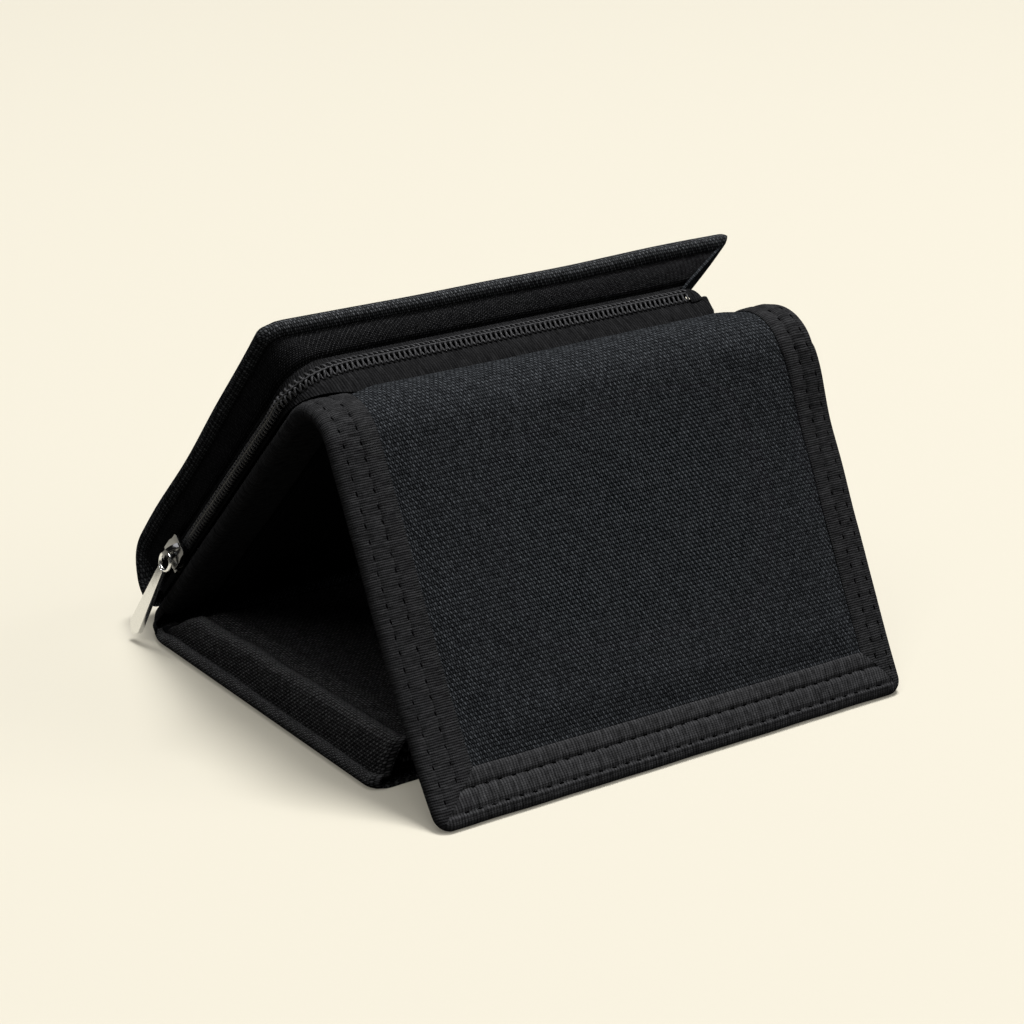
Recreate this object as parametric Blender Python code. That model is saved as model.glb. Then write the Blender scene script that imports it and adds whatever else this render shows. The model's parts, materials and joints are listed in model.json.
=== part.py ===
"""A three-panel nylon wallet, stood up as a tent on its inner leaf and the foot of its front flap.

Every panel is modelled flat in its own frame, seen from the inside: X runs along the folds, Y from the
leaf towards the flap, and Z out of the inner face. The frames then fold the panels into the tent.
Sizes are in millimetres and become metres where a mesh is made.
"""

import math

import bmesh
import bpy
from mathutils import Matrix, Vector

MM = 0.001

# Panels and folds
WIDTH = 122.0
LEAF_LENGTH = 92.0
MIDDLE_LENGTH = 92.3
TOP_FOLD_RADIUS = 11.4
BOTTOM_FOLD_RADIUS = 3.0
TOP_OPENING = math.radians(72.2)
BOTTOM_OPENING = math.radians(46.3)

# Layers of a panel, counted in from the outside of its edge tape
TAPE = 0.4
TAPE_WIDTH = 11.0
SHELL_LAYER = (0.65, 1.15)
BOARD_LAYER = (1.4, 2.0)
LINING_LAYER = (2.25, 2.65)
PANEL_THICK = 3.3
LAYER_INSET = 1.75
BOARD_INSET = 4.0
GAP = 0.3
FOLD_EASE = 3.5
CORNER_RADIUS = 4.5
TOP_FOLD_STEPS = 12
BOTTOM_FOLD_STEPS = 8

# Card sleeves, whose mouths step back towards the right-hand edge
SLEEVE_MOUTHS = (46.0, 33.0, 20.0)
LEAF_SLEEVE = 1.6
LEAF_SLEEVE_GAP = 0.25
LEAF_STACK_BASE = 3.6
LEAF_STACK_START = 14.0
LEAF_STACK_TAPER = 0.6
LEAF_STACK_LEFT = 3.2
LEAF_STACK_STEP = 0.9
LEAF_STACK_END = 1.0
LEAF_SIDE_LEAN = 0.45
LEAF_SIDE_ROUND = 0.9
MIDDLE_SLEEVE = 0.5
SLEEVE_SIDE = 1.0
MIDDLE_SLEEVE_ENDS = (9.0, 4.0)
FLAP_SLEEVE_ENDS = (12.0, 3.0)

# Zip pocket on the back of the middle panel, as height off that panel
COVER_FOOT_DEPTH = 12.2
COVER_TOP_DEPTH = 18.3
COVER_FOOT = 8.6
COVER_TOP = 103.5
COVER_SAG_POWER = 1.6
COVER_CORNER = 4.0
COVER_FOOT_ROLL = (5.9, 6.2)
COVER_FOOT_MIDDLE = 6.0
COVER_RIM_INSET = 2.6
COVER_BOARD_INSET = 5.0
COVER_SEAM = (5.2, 0.5)
COVER_SHELL = (0.0, 0.7)
COVER_BOARD = (1.0, 1.7)
COVER_LINING = (2.0, 2.4)
PLEAT_DEPTH = 18.0
PLEAT_INSET = 1.4
PLEAT_ENDS = (14.0, 99.0)
PLEAT_FOLD = 0.42
PLEAT_CLOTH = 0.7
BAND_CLOTH = 0.5

# Zip, which climbs the left side, turns the corner and runs along the top
ZIP_PITCH = 1.27
ZIP_INSET = 2.0
ZIP_BOTTOM = 10.0
ZIP_TOP = 103.0
ZIP_RIGHT_END = 43.0
ZIP_CORNER_RADIUS = 10.0
ZIP_SIDE_DEPTH = 3.7
ZIP_TOP_DEPTH = 5.6
ZIP_TOP_LEAN = math.radians(30.0)
ZIP_TURN_EASE = 6.0
COIL_HALF_WIDTH = 2.1
COIL_HEIGHT = (0.25, 1.65)
COIL_REACH = (-0.3, 0.75)
COIL_SLOPE = 0.35
ZIP_TAPE = (-0.35, 0.0)
ZIP_TAPE_SLIT = 1.3
ZIP_TAPE_OUTER = 4.2
ZIP_TAPE_INNER = 3.3
ZIP_TAPE_WIDER = 4.2
STOP_WIDTH = (1.3, 2.6)
STOP_HEIGHT = (0.25, 1.5)
STOP_LENGTH = 1.6
END_TAB = (3.0, 2.4)
END_TAB_SPAN = (-0.9, 1.2)

# Slider and pull
SLIDER_AT = 29.0
SLIDER_HALF_LENGTH = 4.2
SLIDER_SHOULDER = 3.0
SLIDER_WAIST = 2.6
SLIDER_TOP_PLATE = (2.0, 2.9)
SLIDER_UNDER_PLATE = (-1.5, -0.75)
SLIDER_LIP = (0.9, 2.2)
BRIDGE_RADII = (2.75, 3.5)
BRIDGE_WIDTH = 1.1
PULL_LENGTH = 19.3
PULL_TIP_WIDTH = 4.6
PULL_NECK_WIDTH = 2.0
PULL_THICK = 1.2
PULL_EYE_RADIUS = 2.0
PULL_WIRE = 0.45
PULL_SWAY = math.radians(20.0)
PULL_LIFT = math.radians(13.0)

HALF = WIDTH / 2
TOP_TURN = math.pi - TOP_OPENING
BOTTOM_TURN = math.pi - BOTTOM_OPENING


def fold_axis(radius, turn):
    """Where a fold's cloth swings about one axis and keeps its length when it lies flat."""
    along = radius * turn / 2
    return along, radius - along / math.tan(turn / 2)


TOP_AXIS_ALONG, TOP_AXIS_IN = fold_axis(TOP_FOLD_RADIUS, TOP_TURN)
BOTTOM_AXIS_ALONG, BOTTOM_AXIS_IN = fold_axis(BOTTOM_FOLD_RADIUS, BOTTOM_TURN)
MIDDLE_START = BOTTOM_AXIS_ALONG
MIDDLE_END = MIDDLE_START + MIDDLE_LENGTH
PANEL_FACE = -BOTTOM_AXIS_IN
FLAP_FACE = -TOP_AXIS_IN


def clear_scene():
    for obj in list(bpy.data.objects):
        bpy.data.objects.remove(obj, do_unlink=True)


def material(name, colour, roughness, metallic=0.0):
    made = bpy.data.materials.new(name)
    made.use_nodes = True
    shader = made.node_tree.nodes["Principled BSDF"]
    shader.inputs["Base Color"].default_value = (*colour, 1.0)
    shader.inputs["Roughness"].default_value = roughness
    shader.inputs["Metallic"].default_value = metallic
    made.diffuse_color = (*colour, 1.0)
    return made


def frame(name, place, turn=0.0, parent=None):
    """An empty on a joint's axis, turned about the folds' direction."""
    empty = bpy.data.objects.new(name, None)
    bpy.context.collection.objects.link(empty)
    empty.empty_display_size = 0.01
    empty.location = [value * MM for value in place]
    empty.rotation_euler = (turn, 0.0, 0.0)
    empty.parent = parent
    return empty


def finish(name, bm, parent, look, smooth_angle=30.0):
    bmesh.ops.remove_doubles(bm, verts=bm.verts, dist=0.0001)
    bmesh.ops.recalc_face_normals(bm, faces=bm.faces)
    bmesh.ops.scale(bm, vec=(MM, MM, MM), verts=bm.verts)
    mesh = bpy.data.meshes.new(name)
    bm.to_mesh(mesh)
    bm.free()
    mesh.shade_smooth()
    mesh.set_sharp_from_angle(angle=math.radians(smooth_angle))
    mesh.materials.append(look)
    obj = bpy.data.objects.new(name, mesh)
    bpy.context.collection.objects.link(obj)
    obj.parent = parent
    return obj


def loft(name, rings, parent, look):
    """A closed solid through rings of points, with a flat cap on each end."""
    bm = bmesh.new()
    loops = [[bm.verts.new(point) for point in ring] for ring in rings]
    count = len(rings[0])
    for low, high in zip(loops, loops[1:]):
        for i in range(count):
            j = (i + 1) % count
            bm.faces.new((low[i], low[j], high[j], high[i]))
    bm.faces.new(loops[0])
    bm.faces.new(loops[-1])
    return finish(name, bm, parent, look)


def plate(name, x, y, z, parent, look):
    """A flat sheet between two limits on each axis."""
    corners = ((x[0], y[0]), (x[1], y[0]), (x[1], y[1]), (x[0], y[1]))
    return loft(name, [[(a, b, height) for a, b in corners] for height in z], parent, look)


def arc(centre, radius, start, end, steps):
    turns = [start + (end - start) * i / steps for i in range(steps + 1)]
    return [(centre[0] + radius * math.cos(a), centre[1] + radius * math.sin(a)) for a in turns]


def layer(face, span):
    return face + span[0], face + span[1]


def folded_tape(side, edge, face, steps=5):
    """Section of a tape folded round a panel's edge, as distance across and height."""
    radius = PANEL_THICK / 2
    centre = (edge - radius, face + radius)
    quarter = math.pi / 2
    ends = edge - TAPE_WIDTH
    outer = [(ends, face), *arc(centre, radius, -quarter, quarter, steps), (ends, face + PANEL_THICK)]
    inner = [
        (ends, face + PANEL_THICK - TAPE),
        *arc(centre, radius - TAPE, quarter, -quarter, steps),
        (ends, face + TAPE),
    ]
    return [(side * across, height) for across, height in outer + inner]


def edge_tape(name, side, face, y, parent, look):
    section = folded_tape(side, HALF, face)
    return loft(name, [[(a, along, b) for a, b in section] for along in y], parent, look)


def panel_layers(prefix, face, y, lining_start, parent, looks):
    """The outer cloth, the stiffening board and the lining of one panel."""
    cloth = (-HALF + LAYER_INSET, HALF - LAYER_INSET)
    stiff = (-HALF + BOARD_INSET, HALF - BOARD_INSET)
    inside = (y[0] + BOARD_INSET, y[1] - BOARD_INSET)
    plate(prefix + "_shell", cloth, y, layer(face, SHELL_LAYER), parent, looks["nylon"])
    plate(prefix + "_board", stiff, inside, layer(face, BOARD_LAYER), parent, looks["board"])
    lined = (lining_start, y[1])
    plate(prefix + "_lining", cloth, lined, layer(face, LINING_LAYER), parent, looks["lining"])


def fold_ring(centre, direction, section, turn):
    """A section of (across, depth in from the outside) turned about a fold's centre."""
    along, height, radius = centre
    return [
        (
            across,
            along + direction * (radius - depth) * math.sin(turn),
            height - (radius - depth) * math.cos(turn),
        )
        for across, depth in section
    ]


def fold_sheet(name, fold, section, parent, look, steps):
    """Cloth or tape that bends round a fold, just short of both panels."""
    centre, direction, turn = fold
    ease = GAP / centre[2]
    turns = [ease + (turn - 2 * ease) * i / steps for i in range(steps + 1)]
    loft(name, [fold_ring(centre, direction, section, a) for a in turns], parent, look)


def strip(x, depth):
    return [(x[0], depth[0]), (x[1], depth[0]), (x[1], depth[1]), (x[0], depth[1])]


def make_middle(tent, looks):
    y = (MIDDLE_START, MIDDLE_END)
    panel_layers("middle", PANEL_FACE, y, y[0] + FOLD_EASE, tent, looks)
    for side, word in ((-1, "left"), (1, "right")):
        taped = (y[0] + FOLD_EASE, y[1])
        edge_tape(f"middle_{word}_binding", side, PANEL_FACE, taped, tent, looks["tape"])
    base = PANEL_FACE + LINING_LAYER[1]
    for number, mouth in enumerate(SLEEVE_MOUTHS):
        low = base + GAP + number * (MIDDLE_SLEEVE + GAP)
        x = (-HALF + TAPE_WIDTH + SLEEVE_SIDE, mouth)
        reach = (y[0] + MIDDLE_SLEEVE_ENDS[0], y[1] - MIDDLE_SLEEVE_ENDS[1])
        sheet = (low, low + MIDDLE_SLEEVE)
        plate(f"middle_card_sleeve_{number + 1}", x, reach, sheet, tent, looks["lining"])


def make_folds(tent, looks):
    top = ((MIDDLE_END, PANEL_FACE + TOP_FOLD_RADIUS, TOP_FOLD_RADIUS), 1, TOP_TURN)
    bottom = ((MIDDLE_START, PANEL_FACE + BOTTOM_FOLD_RADIUS, BOTTOM_FOLD_RADIUS), -1, BOTTOM_TURN)
    cloth = (-HALF + LAYER_INSET, HALF - LAYER_INSET)
    fold_sheet("top_fold_shell", top, strip(cloth, SHELL_LAYER), tent, looks["nylon"], TOP_FOLD_STEPS)
    fold_sheet("top_fold_lining", top, strip(cloth, LINING_LAYER), tent, looks["lining"], TOP_FOLD_STEPS)
    under = strip(cloth, SHELL_LAYER)
    fold_sheet("bottom_fold_shell", bottom, under, tent, looks["nylon"], BOTTOM_FOLD_STEPS)
    for side, word in ((-1, "left"), (1, "right")):
        section = folded_tape(side, HALF, 0.0)
        fold_sheet(f"top_fold_{word}_binding", top, section, tent, looks["tape"], TOP_FOLD_STEPS)
        edges = sorted((side * (HALF - TAPE_WIDTH), side * HALF))
        flat = strip(edges, (0.0, TAPE))
        name = f"bottom_fold_{word}_binding"
        fold_sheet(name, bottom, flat, tent, looks["tape"], BOTTOM_FOLD_STEPS)


def flap_length(hinge_height):
    """How far the flap reaches from its axis for its rounded foot to stand on the floor."""
    lean = BOTTOM_TURN + TOP_TURN
    radius = PANEL_THICK / 2
    middle = FLAP_FACE + radius
    return (hinge_height + middle * math.cos(lean) - radius) / -math.sin(lean) + radius


def rounded_foot(half, foot, radius):
    """Plan of a panel's lower end with rounded corners, reaching past its tape at the other end."""
    right = arc((half - radius, foot - radius), radius, 0.0, math.pi / 2, 5)
    left = arc((radius - half, foot - radius), radius, math.pi / 2, math.pi, 5)
    back = foot - 2 * TAPE_WIDTH
    return [(-half, back), (half, back), *right, *left]


def make_flap(flap, foot, looks):
    y = (TOP_AXIS_ALONG, foot - LAYER_INSET)
    panel_layers("flap", FLAP_FACE, y, y[0], flap, looks)
    for side, word in ((-1, "left"), (1, "right")):
        reach = (TOP_AXIS_ALONG, foot - TAPE_WIDTH - GAP)
        edge_tape(f"flap_{word}_binding", side, FLAP_FACE, reach, flap, looks["tape"])
    section = folded_tape(1, foot, FLAP_FACE)
    rings = [[(x, a, b) for a, b in section] for x in (-HALF, HALF)]
    binding = loft("flap_foot_binding", rings, flap, looks["tape"])
    plan = rounded_foot(HALF, foot, CORNER_RADIUS)
    heights = (FLAP_FACE - PANEL_THICK, FLAP_FACE + 2 * PANEL_THICK)
    shape = loft("flap_foot_outline", [[(a, b, z) for a, b in plan] for z in heights], flap, looks["tape"])
    shape.hide_render = True
    shape.display_type = "WIRE"
    cut = binding.modifiers.new("rounded corners", "BOOLEAN")
    cut.operation = "INTERSECT"
    cut.object = shape
    low = FLAP_FACE + PANEL_THICK + GAP
    sleeve = (low, low + MIDDLE_SLEEVE)
    x = (-HALF + TAPE_WIDTH + SLEEVE_SIDE, SLEEVE_MOUTHS[0])
    reach = (TOP_AXIS_ALONG + FLAP_SLEEVE_ENDS[0], foot - TAPE_WIDTH - FLAP_SLEEVE_ENDS[1])
    plate("flap_card_sleeve", x, reach, sleeve, flap, looks["lining"])


def leaf_taper(along):
    """The pocket stack thins from the leaf's free end towards the fold."""
    reach = (along - LEAF_STACK_START) / (LEAF_LENGTH - LEAF_STACK_START)
    return LEAF_STACK_TAPER + (1.0 - LEAF_STACK_TAPER) * reach


def stack_height(along, level):
    return PANEL_FACE + LEAF_STACK_BASE + level * leaf_taper(along)


def leaf_side_binding(along):
    """Tape that wraps the sloped left side of the leaf's pocket stack."""
    top = stack_height(along, 3 * LEAF_SLEEVE + 2 * LEAF_SLEEVE_GAP) + GAP + TAPE
    low = PANEL_FACE
    inner = HALF - TAPE_WIDTH
    lean = HALF - LEAF_SIDE_LEAN * (top - low)
    bend = LEAF_SIDE_ROUND
    outer = [(inner, low), (HALF - bend, low), (HALF, low + bend)]
    outer += [(lean + TAPE, top - bend), (lean - bend, top)]
    back = [
        (inner + 2.0, top),
        (inner + 2.0, top - TAPE),
        (lean - bend - TAPE / 2, top - TAPE),
        (lean, top - bend - TAPE / 2),
        (HALF - TAPE, low + bend + TAPE / 2),
        (HALF - bend - TAPE / 2, low + TAPE),
        (inner, low + TAPE),
    ]
    return [(-across, -along, height) for across, height in outer + back]


def make_leaf(leaf, looks):
    far = BOTTOM_AXIS_ALONG + LEAF_LENGTH
    near = BOTTOM_AXIS_ALONG
    inner = HALF - TAPE_WIDTH
    drop = PANEL_FACE
    lift = PANEL_FACE + SHELL_LAYER[0]
    cloth = SHELL_LAYER[1] - SHELL_LAYER[0]
    edge = HALF - LAYER_INSET
    step = inner - GAP - TAPE
    under = [(edge, lift), (inner - GAP, lift), (step - cloth, drop)]
    over = [(step - cloth - TAPE / 2, drop + cloth), (step, lift + cloth), (edge, lift + cloth)]
    mirrored = [(-a, b) for a, b in reversed(under)] + [(-a, b) for a, b in reversed(over)]
    section = under + mirrored + over
    rings = [[(a, -y, b) for a, b in section] for y in (near, far - TAPE_WIDTH - GAP)]
    loft("leaf_shell", rings, leaf, looks["nylon"])
    stiff = (-HALF + BOARD_INSET, HALF - BOARD_INSET)
    board = (-far + BOARD_INSET, -near - BOARD_INSET)
    plate("leaf_board", stiff, board, layer(PANEL_FACE, BOARD_LAYER), leaf, looks["board"])
    lining = (-far + LAYER_INSET, -near - FOLD_EASE)
    plate("leaf_lining", (-edge, edge), lining, layer(PANEL_FACE, LINING_LAYER), leaf, looks["lining"])
    ends = (-far + TAPE_WIDTH + GAP, -near - FOLD_EASE)
    edge_tape("leaf_right_binding", 1, PANEL_FACE, ends, leaf, looks["tape"])
    section = folded_tape(1, far, PANEL_FACE)
    rings = [[(x, -a, b) for a, b in section] for x in (-inner + GAP, HALF)]
    loft("leaf_end_binding", rings, leaf, looks["tape"])
    rings = [leaf_side_binding(along) for along in (LEAF_STACK_START, far)]
    loft("leaf_left_binding", rings, leaf, looks["tape"])
    for number, mouth in enumerate(SLEEVE_MOUTHS):
        level = number * (LEAF_SLEEVE + LEAF_SLEEVE_GAP)
        left = -HALF + LEAF_STACK_LEFT + LEAF_STACK_STEP * number
        ends = (LEAF_STACK_START, far - LEAF_STACK_END)
        rings = []
        for x in (left, mouth):
            low = [(x, -along, stack_height(along, level)) for along in ends]
            high = [(x, -along, stack_height(along, level + LEAF_SLEEVE)) for along in reversed(ends)]
            rings.append(low + high)
        loft(f"leaf_card_sleeve_{number + 1}", rings, leaf, looks["lining"])


def on_back(x, along, depth):
    """A point given by its height up the middle panel's back and its depth off that face."""
    return Vector((x, along - BOTTOM_AXIS_ALONG, PANEL_FACE - depth))


def cover_depth(along):
    """How far the cover stands off the panel's back, at a height up it."""
    reach = max((along - COVER_FOOT) / (COVER_TOP - COVER_FOOT), 0.0)
    return COVER_FOOT_DEPTH + (COVER_TOP_DEPTH - COVER_FOOT_DEPTH) * reach**COVER_SAG_POWER


def cover_section(inset, top, board_only=False):
    """The cover's profile at one depth below its outer face: a rolled foot and a slightly sagging back."""
    radius_along, radius_depth = [radius - inset for radius in COVER_FOOT_ROLL]
    foot = []
    for degrees in range(145, 5, -20):
        turn = math.radians(degrees)
        depth = COVER_FOOT_MIDDLE + radius_depth * math.cos(turn)
        foot.append((COVER_FOOT - radius_along * math.sin(turn), depth))
    steps = 8
    first = COVER_FOOT + (COVER_FOOT_MIDDLE if board_only else 0.0)
    back = []
    for i in range(steps + 1):
        along = first + (top - first) * i / steps
        back.append((along, cover_depth(along) - inset))
    return back if board_only else foot + back


def cover_sheet(name, span, edge, parent, look, board_only=False):
    """One layer of the cover, with its upper left corner cut back."""
    stations = ((-HALF + edge, COVER_CORNER), (-HALF + edge + 0.35 * COVER_CORNER, 0.3 * COVER_CORNER))
    stations += ((-HALF + edge + COVER_CORNER, 0.0), (HALF - edge - 1.0, 0.0), (HALF - edge, 1.0))
    rings = []
    for x, cut in stations:
        top = COVER_TOP - edge - cut
        outer = cover_section(span[0], top, board_only)
        inner = cover_section(span[1], top, board_only)
        rings.append([on_back(x, a, d) for a, d in outer + inner[::-1]])
    moved = [[point - cover_origin() for point in ring] for ring in rings]
    return loft(name, moved, parent, look)


def cover_origin():
    """The seam at the cover's foot, about which the pocket gapes."""
    return on_back(0.0, *COVER_SEAM)


def smooth(value):
    value = min(max(value, 0.0), 1.0)
    return value * value * (3.0 - 2.0 * value)


ZIP_LEFT = -HALF + ZIP_INSET
ZIP_SIDE_RUN = ZIP_TOP - ZIP_CORNER_RADIUS - ZIP_BOTTOM
ZIP_CORNER_RUN = ZIP_CORNER_RADIUS * math.pi / 2
ZIP_TOP_RUN = ZIP_RIGHT_END - (ZIP_LEFT + ZIP_CORNER_RADIUS)
ZIP_LENGTH = ZIP_SIDE_RUN + ZIP_CORNER_RUN + ZIP_TOP_RUN


def zip_place(s):
    """Place across and up the panel at a distance along the zip, with the way it faces."""
    if s <= ZIP_SIDE_RUN:
        return ZIP_LEFT, ZIP_BOTTOM + s, -1.0, 0.0
    past = s - ZIP_SIDE_RUN
    if past <= ZIP_CORNER_RUN:
        turn = past / ZIP_CORNER_RADIUS
        out = (-math.cos(turn), math.sin(turn))
        centre = (ZIP_LEFT + ZIP_CORNER_RADIUS, ZIP_TOP - ZIP_CORNER_RADIUS)
        return centre[0] + out[0] * ZIP_CORNER_RADIUS, centre[1] + out[1] * ZIP_CORNER_RADIUS, *out
    return ZIP_LEFT + ZIP_CORNER_RADIUS + past - ZIP_CORNER_RUN, ZIP_TOP, 0.0, 1.0


def zip_turned(s):
    """How far the zip has turned from the side to the top, from 0 to 1."""
    return smooth((s - ZIP_SIDE_RUN + ZIP_TURN_EASE) / (ZIP_CORNER_RUN + 2 * ZIP_TURN_EASE))


def zip_point(s, across, height):
    """A point on the zip: across its tape, away from the panel, and height off its face."""
    x, along, out_x, out_along = zip_place(s)
    turned = zip_turned(s)
    depth = ZIP_SIDE_DEPTH + (ZIP_TOP_DEPTH - ZIP_SIDE_DEPTH) * turned
    lean = ZIP_TOP_LEAN * turned
    outward = height * math.cos(lean) - across * math.sin(lean)
    depth += across * math.cos(lean) + height * math.sin(lean)
    return on_back(x + out_x * outward, along + out_along * outward, depth)


def zip_stations(start, end):
    """Stations along the zip, closest together where it bends."""
    bend = (ZIP_SIDE_RUN - ZIP_TURN_EASE, ZIP_SIDE_RUN + ZIP_CORNER_RUN + ZIP_TURN_EASE)
    steps = 12
    inside = [bend[0] + (bend[1] - bend[0]) * i / steps for i in range(steps + 1)]
    runs = [bend[0] * i / 6 for i in range(6)]
    runs += [bend[1] + (ZIP_LENGTH - bend[1]) * i / 6 for i in range(1, 6)]
    return [start, *[s for s in sorted(inside + runs) if start < s < end], end]


def zip_strip(name, edges, parent, look):
    """One tape of the zip, between the edges given along it."""
    rings = []
    for s, (low, high) in edges:
        corners = ((low, ZIP_TAPE[0]), (high, ZIP_TAPE[0]), (high, ZIP_TAPE[1]), (low, ZIP_TAPE[1]))
        rings.append([zip_point(s, across, height) for across, height in corners])
    loft(name, rings, parent, look)


def inner_tape_edges(s):
    """The tape beside the panel, which widens on the top to reach the fold."""
    return -ZIP_TAPE_INNER - ZIP_TAPE_WIDER * zip_turned(s) ** 3, -ZIP_TAPE_SLIT


def coil_row(name, side, start, end, parent, look):
    """One half of the chain: a toothed strip whose teeth stand between those of the other half."""
    half_pitch = ZIP_PITCH / 2
    rings = []
    for i in range(int((end - start) / half_pitch) + 1):
        tooth = (i % 2 == 0) == (side > 0)
        reach = COIL_REACH[0] if tooth else COIL_REACH[1]
        low = COIL_HEIGHT[0]
        top = COIL_HEIGHT[1] if tooth else low + COIL_REACH[1]
        s = start + i * half_pitch
        corners = ((reach, low), (COIL_HALF_WIDTH, low), (COIL_HALF_WIDTH, top - COIL_SLOPE), (reach, top))
        rings.append([zip_point(s, side * across, height) for across, height in corners])
    loft(name, rings, parent, look)


def cover_rim(s):
    """The point of the cover's inner rim that faces a place along the zip."""
    x, along, out_x, out_along = zip_place(s)
    left, top = -HALF + COVER_RIM_INSET, COVER_TOP - COVER_RIM_INSET
    corner = (left + COVER_CORNER, top - COVER_CORNER)
    if s <= ZIP_SIDE_RUN:
        share = s / ZIP_SIDE_RUN
        x, along = left, along + (corner[1] - ZIP_TOP + ZIP_CORNER_RADIUS) * share
    elif out_along < 1.0:
        x, along = corner[0] + out_x * COVER_CORNER, corner[1] + out_along * COVER_CORNER
    else:
        share = (s - ZIP_SIDE_RUN - ZIP_CORNER_RUN) / ZIP_TOP_RUN
        x, along = corner[0] + (HALF - COVER_RIM_INSET - TAPE - corner[0]) * share, top
    return on_back(x, along, cover_depth(along) - COVER_LINING[1] - GAP)


def make_pocket(cover, looks):
    cover_sheet("cover_shell", COVER_SHELL, 0.0, cover, looks["nylon"])
    cover_sheet("cover_board", COVER_BOARD, COVER_BOARD_INSET, cover, looks["board"], board_only=True)
    cover_sheet("cover_lining", COVER_LINING, 1.0, cover, looks["lining"])
    seam = cover_origin()
    rings = []
    for s in zip_stations(2.0, ZIP_LENGTH):
        near = zip_point(s, ZIP_TAPE_OUTER + GAP, ZIP_TAPE[0])
        far = cover_rim(s)
        out = Vector((*zip_place(s)[2:], 0.0)) * BAND_CLOTH
        rings.append([near - seam, far - seam, far - out - seam, near - out - seam])
    loft("pocket_band", rings, cover, looks["nylon"])
    make_pleat(cover, seam, looks)


def make_pleat(cover, seam, looks):
    """The right-hand side of the pocket, folded inwards along its middle."""
    rim = HALF - PLEAT_INSET
    vertex = rim - PLEAT_DEPTH
    outer, inner = [], []
    steps = 8
    first, last = PLEAT_ENDS
    for along in [first + (last - first) * i / steps for i in range(steps + 1)]:
        depth = cover_depth(along) - COVER_LINING[1] - GAP
        fold = PLEAT_FOLD * depth + GAP / 2
        low = (GAP + TAPE / 4, PLEAT_CLOTH + GAP)
        upper = ((rim, depth), (vertex, fold + PLEAT_CLOTH), (vertex, fold), (rim, depth - PLEAT_CLOTH))
        lower = ((vertex, fold - GAP), (rim, low[1]), (rim, low[0]), (vertex, fold - GAP - PLEAT_CLOTH))
        outer.append([on_back(x, along, d) - seam for x, d in upper])
        inner.append([on_back(x, along, d) - seam for x, d in lower])
    loft("pleat_outer_leaf", outer, cover, looks["nylon"])
    loft("pleat_inner_leaf", inner, cover, looks["nylon"])


def make_zip(tent, looks):
    stations = zip_stations(0.0, ZIP_LENGTH)
    inner = [(s, inner_tape_edges(s)) for s in stations]
    outer = [(s, (ZIP_TAPE_SLIT, ZIP_TAPE_OUTER)) for s in stations]
    zip_strip("zip_inner_tape", inner, tent, looks["tape"])
    zip_strip("zip_outer_tape", outer, tent, looks["tape"])
    slider = SLIDER_AT - ZIP_BOTTOM
    first = slider - COIL_REACH[1]
    coil_row("zip_inner_coil", -1, first, ZIP_LENGTH - ZIP_PITCH, tent, looks["coil"])
    coil_row("zip_outer_coil", 1, first, ZIP_LENGTH - ZIP_PITCH, tent, looks["coil"])
    below = slider - SLIDER_HALF_LENGTH - STOP_LENGTH - 2 * GAP
    near, far = STOP_WIDTH
    low, high = STOP_HEIGHT
    for side, word in ((-1, "inner"), (1, "outer")):
        rings = []
        for s in (below, below + STOP_LENGTH):
            corners = ((near, low), (far, low), (far, high), (near, high))
            rings.append([zip_point(s, side * across, height) for across, height in corners])
        loft(f"zip_{word}_stop", rings, tent, looks["steel"])
    wide, narrow = END_TAB
    rings = []
    for past in END_TAB_SPAN:
        corners = ((-wide, low), (wide, low), (narrow, high), (-narrow, high))
        rings.append([zip_point(ZIP_LENGTH + past, across, height) for across, height in corners])
    loft("zip_end_tab", rings, tent, looks["tape"])


def slider_origin():
    return on_back(ZIP_LEFT, SLIDER_AT, ZIP_SIDE_DEPTH)


def join(target, other):
    other.hide_render = True
    other.display_type = "WIRE"
    union = target.modifiers.new(other.name, "BOOLEAN")
    union.operation = "UNION"
    union.object = other


def slider_plate(name, heights, slider, look):
    """One plate of the slider: wide shoulders at its lower end, where the tapes part."""
    length = SLIDER_HALF_LENGTH
    wide, waist = SLIDER_SHOULDER, SLIDER_WAIST
    half = [(-length, wide / 2), (-length * 0.8, wide), (0.2, wide), (1.8, waist)]
    half += [(length - 0.5, waist), (length, waist * 0.8)]
    outline = half + [(along, -across) for along, across in reversed(half)]
    rings = [[(-h, along, across) for along, across in outline] for h in heights]
    return loft(name, rings, slider, look)


def make_slider(slider, looks):
    """Two plates on a wedge, side lips that hold the teeth down, and the pull's bridge."""
    steel = looks["steel"]
    top, under = SLIDER_TOP_PLATE, SLIDER_UNDER_PLATE
    body = slider_plate("zip_slider", top, slider, steel)
    join(body, slider_plate("slider_under_plate", under, slider, steel))
    plan = ((-3.9, 0.0), (-3.1, 0.95), (-1.7, 0.5), (-1.7, -0.5), (-3.1, -0.95))
    middles = [sum(plate_heights) / 2 for plate_heights in (under, top)]
    join(body, loft("slider_wedge", [[(-h, a, b) for a, b in plan] for h in middles], slider, steel))
    low, high = SLIDER_LIP
    edge = SLIDER_SHOULDER
    for side in (-1, 1):
        corners = ((high, edge - 0.45), (high, edge - 0.05), (low, edge - 0.05), (low, edge - 0.45))
        rings = [[(-h, along, side * across) for h, across in corners] for along in (-3.0, 0.1)]
        join(body, loft(f"slider_lip_{side}", rings, slider, steel))
    foot = sum(top) / 2 - 0.05
    squash = 0.86
    start, end = math.radians(4), math.radians(176)
    arch = arc((0.0, 0.0), BRIDGE_RADII[1], start, end, 10) + arc((0.0, 0.0), BRIDGE_RADII[0], end, start, 10)
    ends = (-BRIDGE_WIDTH / 2, BRIDGE_WIDTH / 2)
    rings = [[(-foot - height * squash, along, z) for along, height in arch] for z in ends]
    join(body, loft("slider_bridge", rings, slider, steel))


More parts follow.
